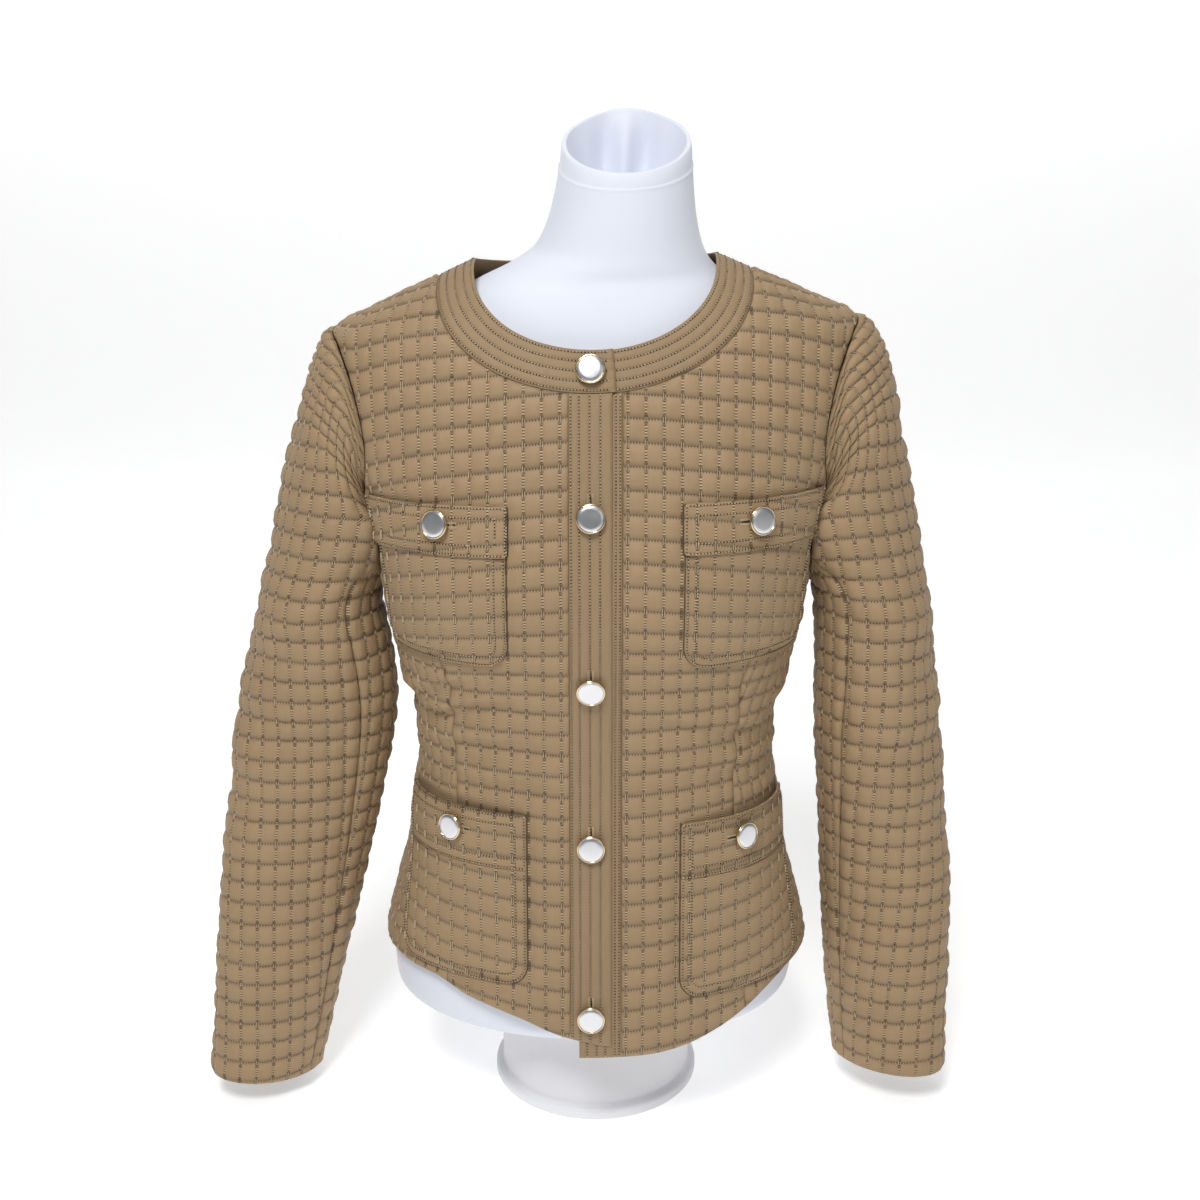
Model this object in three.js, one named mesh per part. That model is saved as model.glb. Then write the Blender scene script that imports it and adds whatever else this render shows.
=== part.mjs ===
// A quilted, collarless jacket buttoned over a white limbless dress form on a low plinth.
// Millimetres, +Z up. The origin is the middle of the plinth's underside, and the front faces -Y.
// +X is the wearer's left. The right front laps over the left front.
import * as THREE from 'three';
import { mergeVertices } from 'three/addons/utils/BufferGeometryUtils.js';

// Cloth thicknesses and clearances.
const WALL = 1.4; // quilted cloth along a stitched line
const PUFF = 1.8; // how far a quilted square stands above its stitching
const PUFF_FADE = 14; // the puff dies away this far from a seam
const BAND_WALL = 2; // plain folded bands
const SEAM_GAP = 0.5; // between two cut edges
const LAYER_GAP = 0.6; // between two layers that lie on each other

// The quilting here is coarser than the real 12 by 16 grid, to keep the triangles few.
const COLUMN = 25;
const ROW = 30;

// Body of the jacket, inside face, by height: half width, depth in front of and behind the
// shoulder line, the shoulder line's own y, and how square the section is (2 is an ellipse).
const TORSO = [
  { z: 60, half: 170, front: 124, back: 112, mid: 0, square: 2.05 },
  { z: 110, half: 168, front: 121, back: 114, mid: 0, square: 2.05 },
  { z: 146, half: 162, front: 117, back: 116, mid: 0, square: 2.1 },
  { z: 181, half: 153, front: 112, back: 110, mid: 0, square: 2.15 },
  { z: 216, half: 144, front: 107, back: 100, mid: 0, square: 2.2 },
  { z: 251, half: 140, front: 102, back: 91, mid: 0, square: 2.2 },
  { z: 300, half: 133, front: 98, back: 86, mid: 0, square: 2.2 },
  { z: 335, half: 139, front: 99, back: 88, mid: 0, square: 2.2 },
  { z: 367, half: 147, front: 104, back: 92, mid: 0, square: 2.25 },
  { z: 400, half: 154, front: 110, back: 97, mid: 0, square: 2.3 },
  { z: 440, half: 159, front: 114, back: 101, mid: 1, square: 2.35 },
  { z: 480, half: 168, front: 112, back: 104, mid: 3, square: 2.4 },
  { z: 520, half: 178, front: 105, back: 103, mid: 5, square: 2.45 },
  { z: 560, half: 186, front: 95, back: 97, mid: 7, square: 2.45 },
  { z: 590, half: 189, front: 85, back: 87, mid: 8, square: 2.4 },
  { z: 609, half: 190, front: 76, back: 77, mid: 8, square: 2.35 },
  { z: 625, half: 160, front: 67, back: 67, mid: 8, square: 2.3 },
  { z: 641, half: 124, front: 57, back: 57, mid: 8, square: 2.25 },
  { z: 648, half: 108, front: 51, back: 52, mid: 8, square: 2.2 },
  { z: 658, half: 86, front: 43, back: 46, mid: 8, square: 2.2 },
  { z: 672, half: 60, front: 30, back: 34, mid: 8, square: 2.2 },
];
const BUST = { x: 86, z: 440, swell: 9, wide: 40, tall: 40 };
const RIDGE_TOP = 671; // no cloth reaches this height
const SHOULDER_LEAN = 0.024; // the left shoulder sits this much higher for each unit of width
const LEAN_FROM = 300;
const LEAN_TO = 610;

// Sleeve heads, inside face. Above PIVOT.z the sections fan out round a line inside the armhole:
// tilt is degrees up from level, out and in are the section's ends, measured from that line.
const PIVOT = { x: 160, z: 480, rate: 0.52, last: 110 };
const SLEEVE_HEAD = [
  { tilt: 0, out: 75, in: -39, y: 4, across: 58 },
  { tilt: 11, out: 72.9, in: -37, y: 4, across: 58 },
  { tilt: 34.5, out: 77.7, in: -28, y: 4.5, across: 57 },
  { tilt: 52, out: 92.6, in: -16, y: 5, across: 56.5 },
  { tilt: 65, out: 113.6, in: -10, y: 6.5, across: 56.5 },
  { tilt: 70, out: 123.8, in: -10, y: 7, across: 57 },
  { tilt: 73.6, out: 131, in: -10.5, y: 7.3, across: 57.5 },
  { tilt: 76.5, out: 134.8, in: -11, y: 7.6, across: 58 },
  { tilt: 78.5, out: 134.2, in: -11, y: 7.8, across: 58 },
  { tilt: 80, out: 130, in: -11, y: 8, across: 58 },
  { tilt: 83, out: 122, in: -11, y: 8, across: 58 },
  { tilt: 88, out: 112, in: -11, y: 8, across: 58 },
  { tilt: 110, out: 105, in: -11, y: 8, across: 58 },
];
const HEAD_FULLNESS = { left: 0.03, right: -0.03, rise: [35, 55], fall: [68, 77] };

// Sleeves below the pivot, inside face, by height: middle of the section, half widths along and
// across it, and how far its outer end is turned to the front. The two hang differently.
const SLEEVE_ARM = {
  left: [
    { z: 480, x: 178, y: 4, along: 57, across: 58, turn: 0 },
    { z: 464, x: 184, y: 4, along: 54, across: 58, turn: 0 },
    { z: 445, x: 194, y: 4, along: 48, across: 57, turn: 0 },
    { z: 430, x: 202, y: 4, along: 43, across: 56, turn: 0 },
    { z: 410, x: 208.5, y: 3, along: 40.5, across: 56, turn: 0 },
    { z: 369, x: 213, y: 2, along: 42, across: 55, turn: 2 },
    { z: 304, x: 218.5, y: 0, along: 45.5, across: 50, turn: 8 },
    { z: 236, x: 224.5, y: -4, along: 46.5, across: 45, turn: 15 },
    { z: 166, x: 229.5, y: -12, along: 48.5, across: 39, turn: 22 },
    { z: 94, x: 232, y: -20, along: 46.5, across: 34, turn: 28 },
    { z: 20, x: 237, y: -28, along: 44, across: 31, turn: 34 },
    { z: -20, x: 240, y: -32, along: 43, across: 30.5, turn: 36 },
  ],
  right: [
    { z: 480, x: 178, y: 4, along: 57, across: 58, turn: 0 },
    { z: 464, x: 184, y: 4, along: 54, across: 58, turn: 0 },
    { z: 445, x: 194, y: 4, along: 48, across: 57, turn: 0 },
    { z: 430, x: 203, y: 4, along: 43.5, across: 56, turn: 0 },
    { z: 410, x: 208.5, y: 3, along: 43, across: 56, turn: 0 },
    { z: 369, x: 210.5, y: 2, along: 51, across: 50, turn: 2 },
    { z: 337, x: 212.5, y: 1, along: 56.5, across: 43, turn: 4 },
    { z: 304, x: 217, y: 0, along: 58.5, across: 39, turn: 8 },
    { z: 236, x: 228.5, y: -4, along: 57, across: 36, turn: 15 },
    { z: 166, x: 241, y: -12, along: 54, across: 35, turn: 22 },
    { z: 94, x: 253, y: -20, along: 48.5, across: 34, turn: 28 },
    { z: 20, x: 266, y: -28, along: 44.5, across: 31, turn: 34 },
    { z: -20, x: 275, y: -32, along: 44, across: 30.5, turn: 36 },
  ],
};
// The sleeve's seams lie this many degrees round from the outer line, and close under the arm.
const SLEEVE_SEAM = { turn: 125, closeFrom: 425, closeOver: 55, gap: 0.4 };
const CUFF = {
  // height of the cuff's edge at the sleeve's middle, and its slopes
  left: { middle: 25, outward: -0.02, forward: 0.08 },
  right: { middle: 18, outward: 0.1, forward: 0.08 },
};

// Cut lines of the body, as distances from the middle of the jacket.
const NECK_SEAM = { half: 112, z: 646, frontDrop: 72, backDrop: 23 };
const NECK_EDGE = { half: 86, z: 658, frontDrop: 56, backDrop: 8 };
const FRONT_SEAM = [
  { z: 60, x: 117 },
  { z: 151, x: 110 },
  { z: 281, x: 102 },
  { z: 355, x: 104 },
  { z: 386, x: 111 },
  { z: 430, x: 128 },
  { z: 470, x: 151 },
  { z: 486, x: 176 },
  { z: 500, x: 260 },
];
const BACK_SEAM = [
  { z: 60, x: 139 },
  { z: 151, x: 132 },
  { z: 281, x: 108 },
  { z: 386, x: 120 },
  { z: 430, x: 132 },
  { z: 470, x: 150 },
  { z: 486, x: 176 },
  { z: 500, x: 260 },
];
const HEM = [
  { x: -175, z: 127 },
  { x: -150, z: 131 },
  { x: -124, z: 131 },
  { x: -95, z: 122 },
  { x: -57, z: 112 },
  { x: -24, z: 101 },
  { x: 14, z: 93 },
  { x: 40, z: 92 },
];
const HEM_UNDER = [
  { x: -40, z: 82 },
  { x: 40, z: 84 },
  { x: 66, z: 88 },
  { x: 93, z: 97 },
  { x: 112, z: 106 },
  { x: 139, z: 121 },
  { x: 150, z: 125 },
  { x: 175, z: 126 },
];
const HEM_BACK = 122;
const PLACKET = { from: -18, to: 12 }; // over the top, on the right front
const UNDERLAP = { from: -12, to: 19 }; // under it, on the left front
const TOP_LIFT = BAND_WALL + LAYER_GAP;
const LIFT_START = 62; // the right front starts to rise over the underlap this far from the middle

// Quilting rows: level at the middle front, they sag to the side at the bust and close up below.
const ROW_BASE = { z: 430, sag: 19, squeeze: 0.1, at: 150, limit: 175 };

// Patch pockets, as distances round the body from the middle front, and heights. A button is placed
// by its distance round, its height and how far over the pocket's inner face it sits.
const POCKETS = {
  chest_right: { side: -1, from: 61, to: 176, top: 501, bottom: 386, corner: 17, head: 34, button: [108, 488, 3.4] },
  chest_left: { side: 1, from: 62, to: 176, top: 501, bottom: 384, corner: 17, head: 34, button: [113, 487, 3.4] },
  hip_right: { side: -1, from: 50, to: 166, top: 268, bottom: 138, corner: 17, head: 42, button: [106, 252, 1.5] },
  hip_left: { side: 1, from: 63, to: 178, top: 260, bottom: 126, corner: 17, head: 42, button: [111, 244, 2.15] },
};
const POCKET_WALL = 1.3;
const POCKET_CALM = 4; // the cloth lies flat under a pocket and this far around it
const POCKET_STAND = { near: 0.9, far: 2.2, from: 80, to: 140 }; // its clearance over the cloth, by distance round
const POCKET_PUFF = 1;
const FLAP_OVERHANG = 1.5;
const MOUTH_GAPE = 3; // the hip pockets stand open by this much at the middle of the mouth

// Buttons: round metal cups with a flat inlay.
const BUTTON = { radius: 10.3, height: 3.6, inlay: 8.7, inlayDepth: 0.8, shank: 2.6, shankLength: 1.4, sides: 14 };
const FRONT_BUTTONS = { x: -3, z: [589, 493, 370, 246, 117] };

// Dress form, by height: x of the middle, half width, depths, y of the middle, and how much
// higher the back of the ring is than its front.
const FORM_UNDER = 79;
const FORM = [
  { z: 79, x: 0, half: 118, front: 78, back: 74, mid: 2, slant: 0 },
  { z: 80.5, x: 0, half: 138, front: 94, back: 90, mid: 2, slant: 0 },
  { z: 86, x: -1, half: 151, front: 104, back: 99, mid: 1, slant: 0 },
  { z: 97, x: -2, half: 158, front: 110, back: 105, mid: 0, slant: 0 },
  { z: 120, x: -1, half: 160, front: 112, back: 108, mid: 0, slant: 0 },
  { z: 190, x: 0, half: 143, front: 103, back: 100, mid: 0, slant: 0 },
  { z: 300, x: 0, half: 123, front: 88, back: 77, mid: 0, slant: 0 },
  { z: 400, x: 0, half: 145, front: 103, back: 90, mid: 0, slant: 0 },
  { z: 490, x: 0, half: 155, front: 104, back: 97, mid: 4, slant: 0 },
  { z: 580, x: 0, half: 158, front: 80, back: 82, mid: 8, slant: 0 },
  { z: 604, x: 0, half: 148, front: 68, back: 69, mid: 8, slant: 0 },
  { z: 622, x: 1, half: 126, front: 60, back: 60, mid: 8, slant: 0 },
  { z: 636, x: 2, half: 104, front: 54, back: 54, mid: 8, slant: 1 },
  { z: 646, x: 5, half: 87, front: 50, back: 51, mid: 8, slant: 3 },
  { z: 656, x: 11, half: 71, front: 48, back: 49, mid: 7, slant: 6 },
  { z: 669, x: 17, half: 59, front: 46, back: 47, mid: 6, slant: 11 },
  { z: 695, x: 20, half: 51, front: 44, back: 45, mid: 3, slant: 20 },
  { z: 720, x: 21.5, half: 47.5, front: 42.5, back: 43, mid: 0, slant: 29 },
  { z: 734, x: 22, half: 46.5, front: 42, back: 42, mid: -1, slant: 35 },
  { z: 738, x: 22, half: 44.5, front: 40, back: 40, mid: -1, slant: 36 },
  { z: 738, x: 22, half: 41, front: 37, back: 37, mid: -1, slant: 36 },
  { z: 734, x: 22, half: 38.5, front: 34.5, back: 34.5, mid: -1, slant: 35 },
  { z: 712, x: 21, half: 35, front: 31, back: 31, mid: 1, slant: 27 },
];
const FORM_SIDES = 28;
const FORM_SQUARE = 2.1;
const PLINTH = { radius: 76, foot: 82, footHeight: 10, bevel: 3, sides: 32 };

const { abs, cos, sin, sqrt, min, max, sign, PI, hypot } = Math;
const group = new THREE.Group();

const clothFinish = new THREE.MeshStandardMaterial({ color: 0xa98f6c, roughness: 0.72, metalness: 0 });
const formFinish = new THREE.MeshStandardMaterial({ color: 0xe8eaf2, roughness: 0.8, metalness: 0 });
const plinthFinish = new THREE.MeshStandardMaterial({ color: 0xf0f0f2, roughness: 0.5, metalness: 0 });
const rimFinish = new THREE.MeshStandardMaterial({ color: 0xd9c7a6, roughness: 0.2, metalness: 1 });
const inlayFinish = new THREE.MeshStandardMaterial({ color: 0xb9bcc0, roughness: 0.25, metalness: 0.8 });

const smooth = (t) => {
  const k = min(1, max(0, t));
  return k * k * (3 - 2 * k);
};

// A smooth curve through one column of a table, by another column, with no overshoot.
function curve(rows, by, column) {
  const sorted = [...rows].sort((a, b) => a[by] - b[by]);
  const at = sorted.map((row) => row[by]);
  const value = sorted.map((row) => row[column]);
  const steep = at.slice(1).map((x, i) => (value[i + 1] - value[i]) / (x - at[i]));
  const slope = at.map((_, i) => {
    const before = steep[max(0, i - 1)];
    const after = steep[min(steep.length - 1, i)];
    return before * after <= 0 ? 0 : (2 * before * after) / (before + after);
  });
  return (x) => {
    const k = min(at[at.length - 1], max(at[0], x));
    let i = 0;
    while (i < at.length - 2 && k > at[i + 1]) i += 1;
    const span = at[i + 1] - at[i];
    const t = (k - at[i]) / span;
    const rise = t * t * (3 - 2 * t);
    return (
      value[i] * (1 - rise) +
      value[i + 1] * rise +
      span * (slope[i] * t * (1 - t) * (1 - t) - slope[i + 1] * t * t * (1 - t))
    );
  };
}

// Every other column of a table as a curve by one column.
function curvesBy(rows, by) {
  const names = Object.keys(rows[0]).filter((name) => name !== by);
  const made = Object.fromEntries(names.map((name) => [name, curve(rows, by, name)]));
  return (value) => Object.fromEntries(names.map((name) => [name, made[name](value)]));
}

const torsoAt = curvesBy(TORSO, 'z');
const frontSeamX = curve(FRONT_SEAM, 'z', 'x');
const backSeamX = curve(BACK_SEAM, 'z', 'x');
const hemOver = curve(HEM, 'x', 'z');
const hemUnder = curve(HEM_UNDER, 'x', 'z');

// A point of a section, by its turn from the middle front towards +X.
function sectionPoint(ring, turn) {
  const reach = (v) => sign(v) * abs(v) ** (2 / ring.square);
  const depth = cos(turn) > 0 ? ring.front : ring.back;
  return [ring.half * reach(sin(turn)), ring.mid - depth * reach(cos(turn))];
}

// The bust swells the front of a section.
function bustSwell(x, y, z, mid) {
  if (y >= mid) return 0;
  const across = (abs(x) - BUST.x) / BUST.wide;
  const up = (z - BUST.z) / BUST.tall;
  return BUST.swell * Math.exp(-(across * across + up * up) / 2);
}

const leanOf = (p) => SHOULDER_LEAN * p.x * smooth((p.z - LEAN_FROM) / (LEAN_TO - LEAN_FROM));
const leaned = (p) => {
  p.z += leanOf(p);
  return p;
};

// Half of the body's section at one height, measured along the cloth from the middle front.
const ringCache = new Map();
const RING_STEPS = 180;
function measuredRing(z) {
  const key = Math.round(z * 20);
  if (ringCache.has(key)) return ringCache.get(key);
  const height = key / 20;
  const ring = torsoAt(height);
  const points = [];
  const along = [];
  for (let i = 0; i <= RING_STEPS; i += 1) {
    const [x, y] = sectionPoint(ring, (PI * i) / RING_STEPS);
    const point = [x, y - bustSwell(x, y, height, ring.mid)];
    along.push(i ? along[i - 1] + hypot(point[0] - points[i - 1][0], point[1] - points[i - 1][1]) : 0);
    points.push(point);
  }
  const made = { points, along, side: along[RING_STEPS / 2], whole: along[RING_STEPS] };
  ringCache.set(key, made);
  return made;
}

function alongRing(ring, distance) {
  const s = min(ring.whole, max(0, distance));
  let low = 0;
  let high = RING_STEPS;
  while (high - low > 1) {
    const middle = (low + high) >> 1;
    if (ring.along[middle] <= s) low = middle;
    else high = middle;
  }
  const t = (s - ring.along[low]) / (ring.along[high] - ring.along[low] || 1);
  return [0, 1].map((k) => ring.points[low][k] + (ring.points[high][k] - ring.points[low][k]) * t);
}

// A body surface point, by the distance round from a reference line and the height.
function torsoSurface(reference) {
  return (u, z) => {
    const ring = measuredRing(z);
    const s = reference(ring) + u;
    const folded = abs(s) > ring.whole ? sign(s) * (2 * ring.whole) - s : s;
    const [x, y] = alongRing(ring, abs(folded));
    return leaned(new THREE.Vector3(abs(s) > ring.whole ? -sign(s) * x : sign(s) * x, y, z));
  };
}
const fromMiddleFront = torsoSurface(() => 0);
const fromSide = { left: torsoSurface((ring) => ring.side), right: torsoSurface((ring) => -ring.side) };
const fromMiddleBack = torsoSurface((ring) => ring.whole);

// How far a point lies outside an implicit shape, from its value and slope there.
function distanceTo(level) {
  const step = 0.5;
  return (p) => {
    const slope = ['x', 'y', 'z'].map((axis) => {
      const ahead = p.clone();
      const behind = p.clone();
      ahead[axis] += step;
      behind[axis] -= step;
      return (level(ahead) - level(behind)) / (2 * step);
    });
    return level(p) / max(1e-6, hypot(...slope));
  };
}

const outsideTorso = distanceTo((p) => {
  const z = min(p.z - leanOf(p), RIDGE_TOP);
  const ring = torsoAt(z);
  const y = p.y + bustSwell(p.x, p.y, z, ring.mid);
  const depth = y < ring.mid ? ring.front : ring.back;
  return (
    (abs(p.x) / ring.half) ** ring.square + (abs(y - ring.mid) / depth) ** ring.square
  ) ** (1 / ring.square) - 1;
});

const SIDES = { left: 1, right: -1 };
const armAt = { left: curvesBy(SLEEVE_ARM.left, 'z'), right: curvesBy(SLEEVE_ARM.right, 'z') };
const headAt = curvesBy(SLEEVE_HEAD, 'tilt');

// A section of the sleeve, by its place up the sleeve: a height, and above the pivot a tilt too.
function sleeveSection(hand, place) {
  if (place <= PIVOT.z) return { ...armAt[hand](place), tilt: 0, z: place };
  const tilt = min(PIVOT.last, (place - PIVOT.z) * PIVOT.rate);
  const ring = headAt(tilt);
  const { rise, fall } = HEAD_FULLNESS;
  const full = smooth((tilt - rise[0]) / (rise[1] - rise[0])) * (1 - smooth((tilt - fall[0]) / (fall[1] - fall[0])));
  const out = ring.out * (1 + HEAD_FULLNESS[hand] * full);
  const angle = THREE.MathUtils.degToRad(tilt);
  const middle = (out + ring.in) / 2;
  return {
    x: PIVOT.x + middle * cos(angle),
    z: PIVOT.z + middle * sin(angle),
    y: ring.y,
    along: (out - ring.in) / 2,
    across: ring.across,
    turn: 0,
    tilt: angle,
  };
}

// A point of the sleeve by its turn from the outer line towards the back, and its place.
function sleevePoint(hand, turn, place) {
  const ring = sleeveSection(hand, place);
  const lean = THREE.MathUtils.degToRad(ring.turn);
  const out = ring.along * cos(turn);
  const back = ring.across * sin(turn);
  return leaned(
    new THREE.Vector3(
      SIDES[hand] * (ring.x + (out * cos(lean) + back * sin(lean)) * cos(ring.tilt)),
      ring.y - out * sin(lean) + back * cos(lean),
      ring.z + out * sin(ring.tilt),
    ),
  );
}

const outsideSleeve = (hand) =>
  distanceTo((p) => {
    const z = p.z - leanOf(p);
    const x = SIDES[hand] * p.x;
    const tilt = z > PIVOT.z ? THREE.MathUtils.radToDeg(Math.atan2(z - PIVOT.z, x - PIVOT.x)) : 0;
    const ring = sleeveSection(hand, z > PIVOT.z ? PIVOT.z + min(PIVOT.last, tilt) / PIVOT.rate : z);
    const lean = THREE.MathUtils.degToRad(ring.turn);
    const beyond = hypot(ring.x - PIVOT.x, ring.z - PIVOT.z);
    const reach = z > PIVOT.z ? hypot(x - PIVOT.x, z - PIVOT.z) - beyond : x - ring.x;
    const y = p.y - ring.y;
    const out = reach * cos(lean) - y * sin(lean);
    const back = reach * sin(lean) + y * cos(lean);
    return hypot(out / ring.along, back / ring.across) - 1;
  });
const sleeveClearance = { left: outsideSleeve('left'), right: outsideSleeve('right') };

// Sleeve surface by distance round from the outer line, positive towards the back, and height.
const SLEEVE_STEPS = 72;
function sleeveSurface(hand) {
  const cache = new Map();
  const measured = (z) => {
    const key = Math.round(z * 20);
    if (!cache.has(key)) {
      const ring = sleeveSection(hand, key / 20);
      const along = [0];
      for (let i = 1; i <= SLEEVE_STEPS; i += 1) {
        const turn = (PI * (i - 0.5)) / SLEEVE_STEPS;
        const speed = hypot(ring.along * sin(turn), ring.across * cos(turn));
        along.push(along[i - 1] + (speed * PI) / SLEEVE_STEPS);
      }
      cache.set(key, along);
    }
    return cache.get(key);
  };
  const turnAt = (u, z) => {
    const along = measured(z);
    const s = min(abs(u), along[SLEEVE_STEPS] - 1e-6);
    let i = 0;
    while (i < SLEEVE_STEPS - 1 && along[i + 1] <= s) i += 1;
    return (sign(u) * PI * (i + (s - along[i]) / (along[i + 1] - along[i]))) / SLEEVE_STEPS;
  };
  const at = (u, z) => sleevePoint(hand, turnAt(u, z), z);
  return { at, turnAt, halfRound: (z) => measured(z)[SLEEVE_STEPS] };
}

// Outward normal of a surface, from two short steps on it.
function normalOf(at, u, t, flip) {
  const step = 0.6;
  const across = at(u + step, t).sub(at(u - step, t));
  const up = at(u, t + step).sub(at(u, t - step));
  return across.cross(up).normalize().multiplyScalar(flip);
}

// A closed mesh from corner points and triangles, with its faces pointing out.
function closedMesh(points, triangles) {
  let volume = 0;
  for (const [a, b, c] of triangles) {
    volume += points[a].dot(new THREE.Vector3().crossVectors(points[b], points[c]));
  }
  const flat = triangles.flatMap(([a, b, c]) => (volume < 0 ? [a, c, b] : [a, b, c]));
  const geometry = new THREE.BufferGeometry();
  geometry.setAttribute(
    'position',
    new THREE.Float32BufferAttribute(points.flatMap((p) => [p.x, p.y, p.z]), 3),
  );
  geometry.setIndex(flat);
  return geometry;
}

function add(name, geometry, finish) {
  const mesh = new THREE.Mesh(geometry, finish);
  mesh.name = name;
  group.add(mesh);
  return mesh;
}

// Heights at which one line of the surface, at distance u, crosses each half row.
function rowHeights(at, u, base, low, high) {
  const step = 0.4;
  const heights = new Map([[0, base.z]]);
  for (const way of [1, -1]) {
    let z = base.z;
    let last = at(u, z);
    let travelled = 0;
    let next = 1;
    while (z > low && z < high) {
      z += way * step;
      const point = at(u, z);
      travelled += point.distanceTo(last) * (way < 0 ? base.squeeze : (base.dense?.(z) ?? 1));
      last = point;
      while (travelled >= (next * ROW) / 2) {
        heights.set(way * next, z);
        next += 1;
      }
    }
  }
  return heights;
}

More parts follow.
